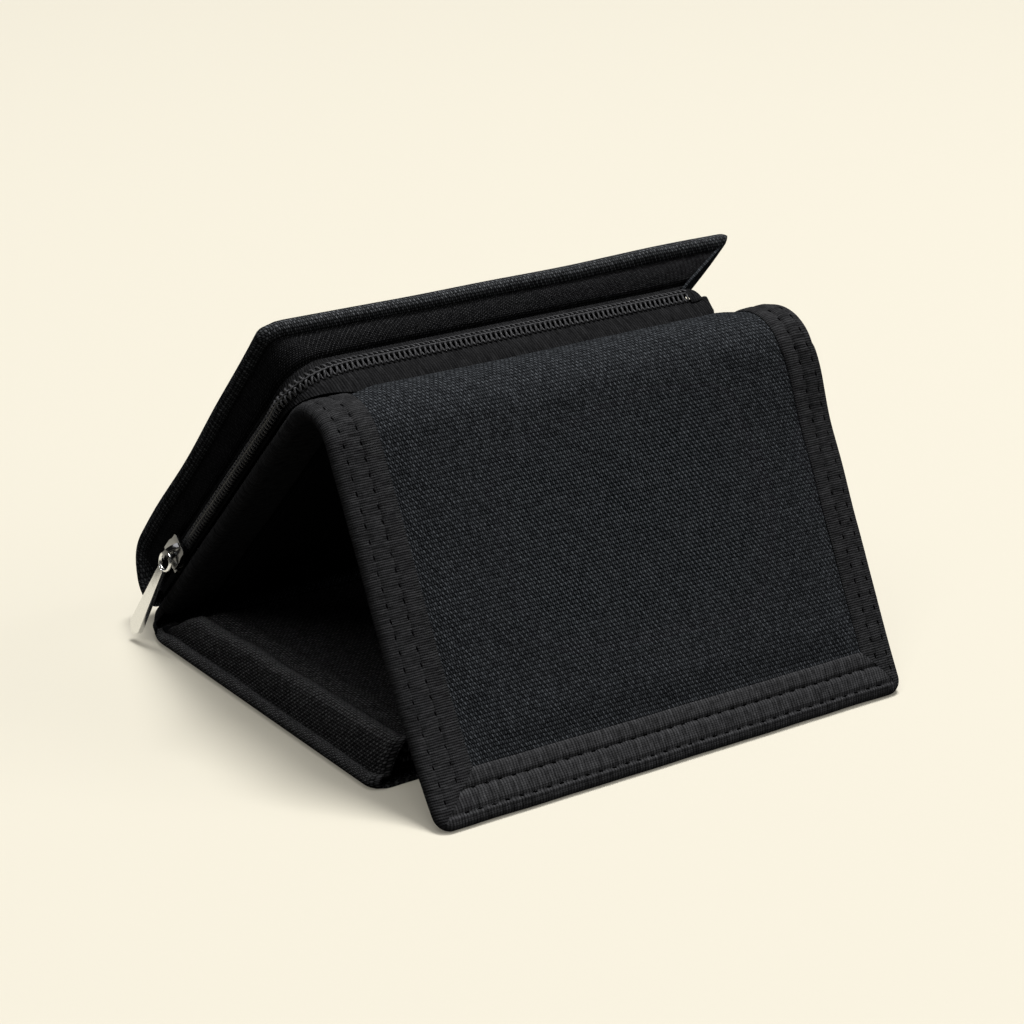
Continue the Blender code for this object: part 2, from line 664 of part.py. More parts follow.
def make_pull(pull, looks):
    """A flat pull whose round eye hangs on the slider's bridge."""
    points = 20
    eye = []
    for i in range(points):
        turn = 2 * math.pi * i / points
        ring = []
        for k in range(8):
            round_turn = 2 * math.pi * k / 8
            reach = PULL_EYE_RADIUS + PULL_WIRE * math.cos(round_turn)
            y = -PULL_EYE_RADIUS + reach * math.cos(turn)
            ring.append((PULL_WIRE * math.sin(round_turn), y, reach * math.sin(turn)))
        eye.append(ring)
    bm = bmesh.new()
    loops = [[bm.verts.new(point) for point in ring] for ring in eye]
    for i in range(points):
        for k in range(8):
            a, b = loops[i], loops[(i + 1) % points]
            bm.faces.new((a[k], a[(k + 1) % 8], b[(k + 1) % 8], b[k]))
    ring = finish("pull_eye", bm, pull, looks["steel"])
    neck = -2 * PULL_EYE_RADIUS + 0.1
    tip = -PULL_LENGTH
    end = PULL_TIP_WIDTH / 2
    round_end = arc((tip + end, 0.0), end, math.radians(115), math.radians(245), 8)
    outline = [(neck, -PULL_NECK_WIDTH / 2), (neck, PULL_NECK_WIDTH / 2), *round_end]
    thick = PULL_THICK / 2
    tab = loft("zip_pull", [[(h, a, b) for a, b in outline] for h in (-thick, thick)], pull, looks["steel"])
    join(tab, ring)


def main():
    clear_scene()
    looks = {
        "nylon": material("black nylon", (0.012, 0.014, 0.016), 0.62),
        "tape": material("black edge tape", (0.016, 0.016, 0.018), 0.7),
        "lining": material("black lining", (0.009, 0.009, 0.011), 0.5),
        "board": material("stiffening board", (0.09, 0.08, 0.07), 0.8),
        "coil": material("black zip coil", (0.012, 0.012, 0.013), 0.35),
        "steel": material("plated zip metal", (0.78, 0.78, 0.77), 0.22, 1.0),
    }
    fold_place = (0.0, BOTTOM_AXIS_ALONG + LEAF_LENGTH / 2, BOTTOM_AXIS_IN)
    leaf = frame("leaf_frame", fold_place)
    tent = frame("middle_frame", fold_place, BOTTOM_TURN)
    hinge = (0.0, MIDDLE_END + TOP_AXIS_ALONG, PANEL_FACE + TOP_AXIS_IN)
    flap = frame("flap_frame", hinge, TOP_TURN, tent)
    cover = frame("cover_frame", cover_origin(), 0.0, tent)
    slider = frame("slider_frame", slider_origin(), 0.0, tent)
    pull = frame("pull_frame", (-3.75, -1.2, 0.0), 0.0, slider)
    pull.rotation_mode = "QUATERNION"
    sway = Matrix.Rotation(-PULL_SWAY, 4, "X")
    lift = Matrix.Rotation(-PULL_LIFT, 4, "Z")
    pull.rotation_quaternion = (sway @ lift).to_quaternion()
    height = Matrix.Rotation(BOTTOM_TURN, 3, "X") @ Vector(hinge)
    foot = flap_length(height.z + BOTTOM_AXIS_IN)
    make_middle(tent, looks)
    make_folds(tent, looks)
    make_flap(flap, foot, looks)
    make_leaf(leaf, looks)
    make_pocket(cover, looks)
    make_zip(tent, looks)
    make_slider(slider, looks)
    make_pull(pull, looks)


main()
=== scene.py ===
import json
import math

import bpy
from mathutils import Matrix, Vector, noise


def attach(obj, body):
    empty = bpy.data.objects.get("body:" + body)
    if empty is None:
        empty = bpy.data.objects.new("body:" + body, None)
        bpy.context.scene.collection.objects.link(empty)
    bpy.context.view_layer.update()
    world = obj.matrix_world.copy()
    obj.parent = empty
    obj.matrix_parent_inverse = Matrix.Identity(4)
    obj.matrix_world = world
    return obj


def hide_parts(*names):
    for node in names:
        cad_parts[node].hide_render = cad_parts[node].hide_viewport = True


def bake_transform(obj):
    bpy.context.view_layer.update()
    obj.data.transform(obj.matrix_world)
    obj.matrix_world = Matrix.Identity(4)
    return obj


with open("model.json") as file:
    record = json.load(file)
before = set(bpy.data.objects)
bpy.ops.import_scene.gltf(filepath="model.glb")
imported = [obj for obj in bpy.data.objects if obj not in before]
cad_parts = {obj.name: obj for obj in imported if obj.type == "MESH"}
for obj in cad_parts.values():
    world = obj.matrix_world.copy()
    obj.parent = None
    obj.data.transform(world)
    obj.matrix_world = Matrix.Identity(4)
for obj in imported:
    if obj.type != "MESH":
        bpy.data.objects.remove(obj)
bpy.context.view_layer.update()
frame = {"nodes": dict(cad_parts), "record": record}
jointNamed = {joint["name"]: joint for joint in frame["record"]["behaviour"]["joints"]}
mm = 0.001

# the wallet's folds and panels, the same sizes as the solids
wallet = {
    "half": 61.0 * mm,
    "leaf": 92.0 * mm,
    "middle": 92.3 * mm,
    "topRadius": 11.4 * mm,
    "bottomRadius": 3.0 * mm,
    "topTurn": math.pi - math.radians(72.2),
    "bottomTurn": math.pi - math.radians(46.3),
    "thick": 3.3 * mm,
    "tapeCloth": 0.4 * mm,
    "cornerRadius": 3.0 * mm,
}
tapes = {
    "left": {"width": 11.0 * mm, "rows": (2.5 * mm, 6.6 * mm)},
    "right": {"width": 8.8 * mm, "rows": (2.2 * mm, 5.4 * mm)},
    "foot": {"width": 9.7 * mm, "rows": (2.3 * mm, 6.3 * mm)},
}
topHinge = Vector(jointNamed["flap_fold"]["pos_m"])
bottomHinge = Vector(jointNamed["leaf_fold"]["pos_m"])
half = wallet["half"]
topArc = wallet["topRadius"] * wallet["topTurn"]
bottomArc = wallet["bottomRadius"] * wallet["bottomTurn"]
topInset = wallet["topRadius"] - topArc / 2 / math.tan(wallet["topTurn"] / 2)
bottomInset = wallet["bottomRadius"] - bottomArc / 2 / math.tan(wallet["bottomTurn"] / 2)
flapStart = wallet["middle"] + topArc
flapLean = wallet["topTurn"] + wallet["bottomTurn"]
edgeRound = wallet["thick"] / 2
flapFoot = (topHinge.z + (edgeRound - topInset) * math.cos(flapLean) - edgeRound) / -math.sin(flapLean)
flapFoot += edgeRound
footRun = flapStart + flapFoot - topArc / 2
leafEnd = -bottomArc - wallet["leaf"]
middleTurn = Matrix.Rotation(wallet["bottomTurn"], 3, "X")
flapTurn = Matrix.Rotation(flapLean, 3, "X")


def onMiddle(x, along, height):
    return bottomHinge + middleTurn @ Vector((x, along, height))


def onBack(x, up, depth):
    # up the middle panel from its sharp lower corner, and off its outer face
    return onMiddle(x, up - bottomArc / 2, -bottomInset - depth)


def wave(x, y, size, seed):
    # a slow random swell of the cloth, between about -1 and 1
    return noise.noise(Vector((x / size, y / size, seed)))


def clamp(value):
    return min(max(value, 0.0), 1.0)


def ease(value):
    value = clamp(value)
    return value * value * (3.0 - 2.0 * value)


def between(ends, share):
    return ends[0] + (ends[1] - ends[0]) * share


def hump(value, middle, spread):
    return math.exp(-(((value - middle) / spread) ** 2))


# where the cloth lies slack, off the solids
slack = {
    "leafOut": 3.9 * mm,
    "leafNarrow": 1.7 * mm,
    "leafOn": 4.0 * mm,
    "leafEase": (2.5 * mm, 14.0 * mm),
    "flare": (3.4 * mm, 1.9 * mm),
    "flareDown": 0.545,
    "flarePower": 7,
    "rightOut": 1.0 * mm,
    "rightIn": 1.2 * mm,
    "shoulder": 2.5 * mm,
    "shoulderRun": topArc + 20.0 * mm,
}


def leafSpread(x, along):
    # the leaf's soft left side lies a little wider than the fold
    before, length = slack["leafEase"]
    out = slack["leafOut"] * ease((along + before) / length)
    out -= slack["leafNarrow"] * clamp(along / wallet["leaf"])
    return x - out * clamp(-x / half) ** 2


def leafSpot(x, along, height):
    reach = slack["leafOn"] * clamp(along / wallet["leaf"])
    return bottomHinge + Vector((leafSpread(x, along), -along - reach, height - bottomInset))


def wrap(x, run, lift):
    # a spot on the opened wallet, with lift counted in from the outer face, folded to its place
    if run > wallet["middle"]:
        past = clamp((run - wallet["middle"]) / slack["shoulderRun"])
        lift -= slack["shoulder"] * clamp(x / half) ** 3 * math.sin(math.pi * past) ** 2
    if run < -bottomArc:
        return leafSpot(x, -run - bottomArc / 2, lift)
    if run < 0:
        turn = -run / wallet["bottomRadius"]
        reach = wallet["bottomRadius"] - lift
        centre = wallet["bottomRadius"] - bottomInset
        x = leafSpread(x, -run - bottomArc / 2)
        return onMiddle(x, bottomArc / 2 - reach * math.sin(turn), centre - reach * math.cos(turn))
    if run <= wallet["middle"]:
        return onMiddle(leafSpread(x, -run - bottomArc / 2), bottomArc / 2 + run, lift - bottomInset)
    if run <= flapStart:
        turn = (run - wallet["middle"]) / wallet["topRadius"]
        reach = wallet["topRadius"] - lift
        centre = wallet["topRadius"] - bottomInset
        end = bottomArc / 2 + wallet["middle"]
        return onMiddle(x, end + reach * math.sin(turn), centre - reach * math.cos(turn))
    down = clamp((run - flapStart) / (footRun - flapStart))
    nearFoot = down ** slack["flarePower"]
    flare = between(slack["flare"], clamp(0.5 + x / half / 2)) * nearFoot
    out = slack["rightOut"] * math.sin(math.pi * math.sqrt(down)) - slack["rightIn"] * nearFoot
    x += out * clamp(x / half)
    along = topArc / 2 + run - flapStart + slack["flareDown"] * flare
    return topHinge + flapTurn @ Vector((x, along, lift - topInset - flare))


# mesh helpers


def pickOnly(piece):
    bpy.ops.object.select_all(action="DESELECT")
    piece.select_set(True)
    bpy.context.view_layer.objects.active = piece


def newObject(name, data):
    piece = bpy.data.objects.new(name, data)
    bpy.context.collection.objects.link(piece)
    return piece


def newGrid(name, steps, place, flat):
    # moves each vertex of a flat grid to its place, and keeps the cloth's own flat sizes as its UV map
    bpy.ops.object.select_all(action="DESELECT")
    bpy.ops.mesh.primitive_grid_add(x_subdivisions=steps[0], y_subdivisions=steps[1], size=1)
    piece = bpy.context.object
    mesh = piece.data
    piece.name = mesh.name = name
    spots = [(vertex.co.x + 0.5, vertex.co.y + 0.5) for vertex in mesh.vertices]
    marks = mesh.uv_layers[0].data
    for loop in mesh.loops:
        marks[loop.index].uv = flat(*spots[loop.vertex_index])
    for vertex, spot in zip(mesh.vertices, spots):
        vertex.co = place(*spot)
    mesh.update()
    return piece


def editAll(piece, *jobs):
    pickOnly(piece)
    bpy.ops.object.mode_set(mode="EDIT")
    bpy.ops.mesh.select_all(action="SELECT")
    for job in jobs:
        job()
    bpy.ops.object.mode_set(mode="OBJECT")


def fixNormals(piece):
    editAll(piece, lambda: bpy.ops.mesh.normals_make_consistent(inside=False))


def roundEdges(piece, width, segments, sharpest):
    # rounds off the edges, and applies this and any modifier before it
    soft = piece.modifiers.new("round edges", "BEVEL")
    soft.width = width
    soft.segments = segments
    soft.limit_method = "ANGLE"
    soft.angle_limit = math.radians(sharpest)
    pickOnly(piece)
    for modifier in list(piece.modifiers):
        bpy.ops.object.modifier_apply(modifier=modifier.name)


def thicken(piece, thickness):
    solid = piece.modifiers.new("cloth", "SOLIDIFY")
    solid.thickness = thickness
    solid.offset = 0.0
    solid.use_even_offset = False
    roundEdges(piece, thickness * 0.3, 2, 60)
    fixNormals(piece)
    bpy.ops.object.shade_smooth_by_angle(angle=math.radians(50))


def dress(piece, material):
    piece.data.materials.clear()
    piece.data.materials.append(material)
    return piece


# materials


class Sum:
    # a node's output, with which sums can be written
    def __init__(self, tree, socket):
        self.tree = tree
        self.socket = socket

    def calc(self, operation, *values):
        node = self.tree.nodes.new("ShaderNodeMath")
        node.operation = operation
        for place, value in zip(node.inputs, (self, *values)):
            link(self.tree, value, place)
        return Sum(self.tree, node.outputs[0])

    def __add__(self, other):
        return self.calc("ADD", other)

    def __mul__(self, other):
        return self.calc("MULTIPLY", other)

    def __truediv__(self, other):
        return self.calc("DIVIDE", other)


def link(tree, source, target):
    # joins two sockets, or sets a value
    if isinstance(source, (int, float, tuple)):
        target.default_value = source
    else:
        tree.links.new(source.socket if isinstance(source, Sum) else source, target)


def newGroup(name, sizes, outputs):
    # a node group that takes the cloth's flat coordinates and a few sizes
    group = bpy.data.node_groups.new(name, "ShaderNodeTree")
    group.interface.new_socket("UV", in_out="INPUT", socket_type="NodeSocketVector")
    for label in sizes:
        group.interface.new_socket(label, in_out="INPUT", socket_type="NodeSocketFloat")
    for label in outputs:
        group.interface.new_socket(label, in_out="OUTPUT", socket_type="NodeSocketFloat")
    given = group.nodes.new("NodeGroupInput").outputs
    return group, given, group.nodes.new("NodeGroupOutput").inputs


def ridges(value, perStep=1):
    # rounded ridges along the value
    return (value * (math.pi * perStep)).calc("SINE").calc("ABSOLUTE")


def partsOf(tree, vector):
    node = tree.nodes.new("ShaderNodeSeparateXYZ")
    link(tree, vector, node.inputs[0])
    return Sum(tree, node.outputs[0]), Sum(tree, node.outputs[1])


def vectorCalc(tree, operation, first, second):
    node = tree.nodes.new("ShaderNodeVectorMath")
    node.operation = operation
    link(tree, first, node.inputs[0])
    link(tree, second, node.inputs["Scale" if operation == "SCALE" else 1])
    return node.outputs[0]


def noiseNode(tree, vector, scale, detail=3.0, rough=0.55, output="Fac"):
    node = tree.nodes.new("ShaderNodeTexNoise")
    node.inputs["Scale"].default_value = scale
    node.inputs["Detail"].default_value = detail
    node.inputs["Roughness"].default_value = rough
    link(tree, vector, node.inputs["Vector"])
    return Sum(tree, node.outputs[output])


weaveLook = {
    "swayScale": 160.0,
    "slant": (-0.45, 0.22),
    "threadRound": (0.8, 0.45),
    "under": 0.5,
    "chance": (0.55, 0.53),
    "fibreScale": 1900.0,
    "fibre": (1.3, 0.36),
    "patchScale": 45.0,
}


def weaveGroup(look):
    # plain weave: slanting threads pass over and under each other, cell by cell, each a little different
    sizes = ("Across", "Along", "Wander")
    group, given, result = newGroup("plainWeave", sizes, ("Height", "Over", "Patch"))
    sway = noiseNode(group, given["UV"], look["swayScale"], 2.0, 0.5, "Color")
    sway = vectorCalc(group, "SUBTRACT", sway, (0.5, 0.5, 0.5))
    sway = vectorCalc(group, "SCALE", sway, given["Wander"])
    x, y = partsOf(group, vectorCalc(group, "ADD", given["UV"], sway))
    v = y / given["Along"]
    u = x / given["Across"] + (v.calc("FRACT") * look["slant"][0] + look["slant"][1])
    column, row = u.calc("FLOOR"), v.calc("FLOOR")
    parity = (column + row).calc("FLOORED_MODULO", 2.0)
    cell = group.nodes.new("ShaderNodeCombineXYZ")
    link(group, column, cell.inputs[0])
    link(group, row, cell.inputs[1])
    chance = group.nodes.new("ShaderNodeTexWhiteNoise")
    chance.noise_dimensions = "2D"
    link(group, cell.outputs[0], chance.inputs["Vector"])
    chance = Sum(group, chance.outputs["Value"])
    fibre = noiseNode(group, given["UV"], look["fibreScale"], 2.0, 0.7)
    roundU, roundV = look["threadRound"]
    height = ridges(u).calc("POWER", roundU) * ridges(v).calc("POWER", roundV)
    height = height * (parity * (1 - look["under"]) + look["under"])
    over = height * (chance * look["chance"][0] + look["chance"][1])
    over = over * (fibre * look["fibre"][0] + look["fibre"][1])
    link(group, height, result["Height"])
    link(group, over, result["Over"])
    link(group, noiseNode(group, given["UV"], look["patchScale"]), result["Patch"])
    return group


def ribGroup():
    # ribbed tape: close ribs across its width, some paler than others, with a fine thread along it
    group, given, result = newGroup("ribbedTape", ("Rib", "Thread"), ("Height", "Fuzz", "Streak"))
    x, y = partsOf(group, given["UV"])
    u = x / given["Thread"]
    v = y / given["Rib"] + noiseNode(group, given["UV"], 200.0, 2.0) * 0.7
    drawn = group.nodes.new("ShaderNodeCombineXYZ")
    link(group, u * 0.12, drawn.inputs[0])
    link(group, v * 0.8, drawn.inputs[1])
    link(group, ridges(u) * 0.25 + ridges(v), result["Height"])
    link(group, noiseNode(group, given["UV"], 1400.0, 2.0), result["Fuzz"])
    link(group, noiseNode(group, drawn.outputs[0], 1.0, 2.0), result["Streak"])
    return group


def twillGroup():
    # fine twill: slanting wales
    group, given, result = newGroup("fineTwill", ("Pitch",), ("Height",))
    x, y = partsOf(group, given["UV"])
    wales = ridges((y * 0.8 + x) / given["Pitch"])
    link(group, ridges(y / given["Pitch"], 2) * 0.4 + wales, result["Height"])
    return group


plainWeave = weaveGroup(weaveLook)
ribbedTape = ribGroup()
fineTwill = twillGroup()


def startMaterial(name):
    made = bpy.data.materials.new(name)
    made.use_nodes = True
    tree = made.node_tree
    return made, tree, tree.nodes["Principled BSDF"]


def coordOf(tree, kind):
    return tree.nodes.new("ShaderNodeTexCoord").outputs[kind]


def groupNode(tree, group, sizes):
    node = tree.nodes.new("ShaderNodeGroup")
    node.node_tree = group
    link(tree, coordOf(tree, "UV"), node.inputs["UV"])
    for label, value in sizes.items():
        node.inputs[label].default_value = value
    return {output.name: Sum(tree, output) for output in node.outputs}


def colourRamp(tree, factor, stops):
    ramp = tree.nodes.new("ShaderNodeValToRGB")
    elements = ramp.color_ramp.elements
    while len(elements) < len(stops):
        elements.new(0.5)
    for element, (place, colour) in zip(elements, stops):
        element.position = place
        element.color = (*colour, 1.0)
    link(tree, factor, ramp.inputs["Fac"])
    return ramp.outputs["Color"]


def bumpNode(tree, height, strength, distance):
    bump = tree.nodes.new("ShaderNodeBump")
    bump.inputs["Strength"].default_value = strength
    bump.inputs["Distance"].default_value = distance
    link(tree, height, bump.inputs["Height"])
    return bump.outputs["Normal"]


def setGloss(shader, roughness, specular):
    shader.inputs["Roughness"].default_value = roughness
    shader.inputs["Specular IOR Level"].default_value = specular


clothGloss = {"roughness": 0.7, "specular": 0.0}


def finishCloth(tree, shader, look, tone, height, darkest=0.0):
    # dark in the hollows and light on the threads, with their relief
    stops = [(darkest, look["dark"]), (1.0, look["light"])]
    link(tree, colourRamp(tree, tone, stops), shader.inputs["Base Color"])
    link(tree, bumpNode(tree, height, 1.0, look["relief"]), shader.inputs["Normal"])
    setGloss(shader, **clothGloss)


nylonLook = {
    "across": 0.52 * mm,
    "along": 0.83 * mm,
    "wander": 0.5 * mm,
    "dark": (0.0006, 0.0006, 0.0008),
    "light": (0.064, 0.069, 0.075),
    "relief": 0.15 * mm,
}


def nylonMaterial(name, look):
    made, tree, shader = startMaterial(name)
    sizes = {"Across": look["across"], "Along": look["along"], "Wander": look["wander"]}
    weave = groupNode(tree, plainWeave, sizes)
    tone = weave["Over"] * (weave["Patch"] * 0.14 + 0.91)
    for middle, reach, gain in look.get("paintedLight", ()):  # painted highlights on the crests and painted shade in the hollows
        off = partsOf(tree, coordOf(tree, "UV"))[0] * (1 / reach) + -middle / reach
        crest = (off * off * -1.0 + 1.0).calc("MAXIMUM", 0.0)
        tone = tone * (crest * gain + 1.0)
    finishCloth(tree, shader, look, tone, weave["Height"], 0.05)
    return made


tapeLook = {
    "rib": 0.5 * mm,
    "thread": 0.42 * mm,
    "dark": (0.0006, 0.0006, 0.0007),
    "light": (0.062, 0.062, 0.064),
    "relief": 0.09 * mm,
}


def tapeMaterial(name, look):
    made, tree, shader = startMaterial(name)
    ribs = groupNode(tree, ribbedTape, {"Rib": look["rib"], "Thread": look["thread"]})
    tone = (ribs["Height"] * 0.6 + 0.25) * (ribs["Fuzz"] * 0.7 + 0.25)
    tone = tone * (ribs["Streak"] * 1.6 + -0.08)
    finishCloth(tree, shader, look, tone, ribs["Height"])
    return made


liningLook = {
    "pitch": 0.7 * mm,
    "dark": (0.0016, 0.0016, 0.002),
    "light": (0.0085, 0.0085, 0.0095),
    "relief": 0.07 * mm,
}


def liningMaterial(name, look):
    made, tree, shader = startMaterial(name)
    height = groupNode(tree, fineTwill, {"Pitch": look["pitch"]})["Height"]
    finishCloth(tree, shader, look, height, height, 0.1)
    return made


def metalMaterial(name, colour, roughness):
    made, tree, shader = startMaterial(name)
    place = coordOf(tree, "Object")
    smear = noiseNode(tree, place, 900.0, 4.0)
    link(tree, smear * 0.16 + roughness, shader.inputs["Roughness"])
    scuff = noiseNode(tree, place, 2600.0, 2.0)
    link(tree, bumpNode(tree, scuff, 0.15, 0.02 * mm), shader.inputs["Normal"])
    shader.inputs["Base Color"].default_value = (*colour, 1.0)
    shader.inputs["Metallic"].default_value = 1.0
    return made


def coilMaterial(name, colour, roughness, specular):
    made, tree, shader = startMaterial(name)
    dust = noiseNode(tree, coordOf(tree, "Object"), 1800.0, 3.0)
    pale = tuple(value * 2.4 for value in colour)
    link(tree, colourRamp(tree, dust, [(0.35, colour), (0.75, pale)]), shader.inputs["Base Color"])
    setGloss(shader, roughness, specular)
    return made


footLook = {"rib": 0.7 * mm, "relief": 0.12 * mm, "light": (0.087, 0.087, 0.09)}
zipLook = {"rib": 0.62 * mm, "thread": 0.5 * mm, "light": (0.03, 0.03, 0.031)}
bandLook = {"across": 0.42 * mm, "along": 0.5 * mm, "light": (0.034, 0.034, 0.035)}
nylon = nylonMaterial("blackNylon", nylonLook)
edgeTape = tapeMaterial("blackEdgeTape", tapeLook)
footRib = tapeMaterial("footTape", {**tapeLook, **footLook})
zipTape = tapeMaterial("zipTape", {**tapeLook, **zipLook})
lining = liningMaterial("blackLining", liningLook)
bandCloth = nylonMaterial("bandCloth", {**nylonLook, **bandLook})
# the black nylon made paler all over for the pocket cover: painted light standing in for the light that falls
# on its top-lit rim
litCoverNylon = nylonMaterial("litCoverNylon", {**nylonLook, "light": (0.105, 0.109, 0.114)})
thread = coilMaterial("sewingThread", (0.0004, 0.0004, 0.0005), 0.8, 0.02)
coilNylon = coilMaterial("zipCoil", (0.026, 0.026, 0.027), 0.4, 0.1)
darkPlated = metalMaterial("darkPlated", (0.12, 0.12, 0.124), 0.1)
plated = metalMaterial("platedMetal", (0.82, 0.82, 0.81), 0.12)
print("materials ready")


# panels and folds


def laySheet(name, steps, place, flat, thickness, material, measured=None):
    # cloth of even thickness; for a strip of the measured length, its area over that length is worked out but
    # not used
    piece = newGrid(name, steps, place, flat)
    if measured:
        area = sum(face.area for face in piece.data.polygons)
        area / measured
    thicken(piece, thickness)
    return dress(piece, material)


def panelCrown(x, run):
    # how much the cloth stands up away from the tapes that hold its edges
    fromSide = half - abs(x) - tapes["left" if x < 0 else "right"]["width"]
    fromTape = min(fromSide, footRun - run - tapes["foot"]["width"]) + 1.5 * mm
    return ease(fromTape / (9.0 * mm))


def clothSheet(
    name, xs, runs, lift, steps, material, thickness=0.5 * mm, swell=0.0, seed=1.0, crown=0.0
):
    def flat(a, b):
        return between(xs, a), between(runs, b)

    def place(a, b):
        x, run = flat(a, b)
        puff = swell * math.sin(math.pi * clamp(a)) * wave(x, run, 0.03, seed)
        return wrap(x, run, lift + puff - crown * panelCrown(x, run))

    piece = laySheet(name, steps, place, flat, thickness, material)
    xs[1] - xs[0]
    runs[1] - runs[0]
    return piece


tapeStitch = {
    "dip": 0.4 * mm,
    "reach": 0.8 * mm,
    "pitch": 3.3 * mm,
    "edge": 0.6 * mm,
    "pucker": 0.22,
    "crease": 0.25,
    "sway": 0.22 * mm,
    "cornerShare": 0.05,
}
tapeBend = math.pi * edgeRound


def tapePuff(fromEdge, run, tape):
    # how far the tape stands out between its rows of stitching, which draw it in most at each stitch
    nearest = min(abs(fromEdge - row) for row in tape["rows"])
    puff = ease(nearest / tapeStitch["reach"]) * ease(abs(tape["width"] - fromEdge) / tapeStitch["edge"])
    puff *= 1 + tapeStitch["crease"] * wave(run, fromEdge, 0.0035, 8.0)
    pucker = tapeStitch["pucker"] * (1 + math.cos(2 * math.pi * (run / tapeStitch["pitch"] - 0.5)))
    pucker *= 1 - ease(nearest / (1.6 * tapeStitch["reach"]))
    return tapeStitch["dip"] * (puff - pucker)


def tapeSection(q, tape):
    # distance in from the panel's edge, and lift from its outer face
    flange = tape["width"] - edgeRound
    if q < flange:
        return tape["width"] - q, 0.0
    if q < flange + tapeBend:
        turn = (q - flange) / edgeRound
        return edgeRound - edgeRound * math.sin(turn), edgeRound - edgeRound * math.cos(turn)
    return edgeRound + (q - flange - tapeBend), wallet["thick"]


def tapeLift(q, fromEdge, lift, run, tape):
    puff = tapePuff(fromEdge, run, tape) if q < tape["width"] - edgeRound else 0.0
    return lift + wallet["tapeCloth"] / 2 - puff


def turnCorner(fromEdge, share, tape, other):
    # half of a rounded corner: distances in from this tape's edge and from the other tape's edge
    radius = wallet["cornerRadius"]
    turn = math.pi / 4 * share
    rim = radius - min(fromEdge, edgeRound)
    across, ahead = radius - rim * math.cos(turn), radius - rim * math.sin(turn)
    inwards = 0.98 * clamp((fromEdge - edgeRound) / (tape["width"] - edgeRound))  # not quite to a point
    return across + (tape["width"] - across) * inwards, ahead + (other["width"] - ahead) * inwards


def mitred(share, fromEdge, ends, corners, tape, others):
    # how far along a tape and how far in a spot lies, where either end may turn half of a corner
    low = ends[0] + corners[0] * turnCorner(fromEdge, 0.0, tape, others[0])[1]
    high = ends[1] - corners[1] * turnCorner(fromEdge, 0.0, tape, others[1])[1]
    start, end = corners[0] * tapeStitch["cornerShare"], 1 - corners[1] * tapeStitch["cornerShare"]
    if share < start:
        across, ahead = turnCorner(fromEdge, 1 - share / start, tape, others[0])
        return ends[0] + ahead, across
    if share > end:
        across, ahead = turnCorner(fromEdge, (share - end) / (1 - end), tape, others[1])
        return ends[1] - ahead, across
    return low + (high - low) * (share - start) / (end - start), fromEdge


def foldedTape(name, ends, steps, corners, tape, others, put, material, endways=False, bendShare=None):
    # a tape folded round an edge, from its outer flange round to its inner one
    flange = tape["width"] - edgeRound
    total = 2 * flange + tapeBend if bendShare is None else flange + tapeBend * bendShare

    def spot(a, b):
        share, q = (a, b * total) if endways else (b, a * total)
        fromEdge, lift = tapeSection(q, tape)
        return q, *mitred(share, fromEdge, ends, corners, tape, others), lift

    def place(a, b):
        q, along, across, lift = spot(a, b)
        return put(along, across, tapeLift(q, across, lift, along, tape))

    def flat(a, b):
        return spot(a, b)[:2]

    piece = laySheet(name, steps, place, flat, wallet["tapeCloth"], material)
    length = ends[1] - ends[0] - sum(corners) * tape["width"] * 0.5
    return piece


def sideTape(name, side, runs, steps, corners=(0, 0), bendShare=None):
    def put(run, across, lift):
        sway = tapeStitch["sway"] * wave(run, side, 0.014, 4.0)
        return wrap(side * (half - across + sway), run, lift)

    tape, others = tapes["left" if side < 0 else "right"], (tapes["foot"], tapes["foot"])
    return foldedTape(name, runs, (56, steps), corners, tape, others, put, edgeTape, False, bendShare)


def endTape(name, endRun, sign, xs, corners, material):
    # a tape round a free end, mitred where it meets a side tape
    def put(x, across, lift):
        sway = tapeStitch["sway"] * wave(x, 2.0, 0.014, 7.0)
        return wrap(x, endRun - sign * (across - sway), lift)

    others = (tapes["left"], tapes["right"])
    return foldedTape(name, xs, (150, 56), corners, tapes["foot"], others, put, material, True)


def foldBlend(piece):
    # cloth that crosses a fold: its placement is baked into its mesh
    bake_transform(piece)


panelSheets = {
    "inset": 1.6 * mm,
    "split": 45.0 * mm,
    "splitGap": 0.4 * mm,
    "lift": 0.55 * mm,
    "liningLift": 2.55 * mm,
    "liningFrom": 3.5 * mm,
    "liningThick": 0.4 * mm,
    "swell": 0.35 * mm,
    "crown": 1.1 * mm,
    "steps": (96, 150),
}
tapeEnds = {"front": 3.6 * mm, "fold": (3.2 * mm, 3.4 * mm), "leaf": 3.5 * mm, "leafLeft": 11.3 * mm}
panelXs = (panelSheets["inset"] - half, half - panelSheets["inset"])
split = panelSheets["split"]
flapLast, leafFirst = footRun - panelSheets["inset"], leafEnd + panelSheets["inset"]
liningThick = panelSheets["liningThick"]

shellFront = clothSheet(
    "shellFront", panelXs, (split, flapLast), panelSheets["lift"], panelSheets["steps"], nylon,
    swell=panelSheets["swell"], seed=2.0, crown=panelSheets["crown"],
)
foldBlend(shellFront)
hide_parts("flap_shell", "top_fold_shell", "middle_shell", "flap_board", "middle_board")
shellBack = clothSheet(
    "shellBack", panelXs, (leafFirst, split - panelSheets["splitGap"]), panelSheets["lift"],
    panelSheets["steps"], nylon,
)
foldBlend(shellBack)
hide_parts("leaf_shell", "bottom_fold_shell", "leaf_board")
liningFront = clothSheet(
    "liningFront", panelXs, (panelSheets["liningFrom"], flapLast), panelSheets["liningLift"],
    (40, 170), lining, liningThick,
)
foldBlend(liningFront)
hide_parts("flap_lining", "top_fold_lining", "middle_lining")
liningLeaf = clothSheet(
    "liningLeaf", panelXs, (leafFirst, -bottomArc - panelSheets["liningFrom"]), panelSheets["liningLift"],
    (40, 60), lining, liningThick,
)
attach(liningLeaf, "inner_leaf")
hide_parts("leaf_lining")

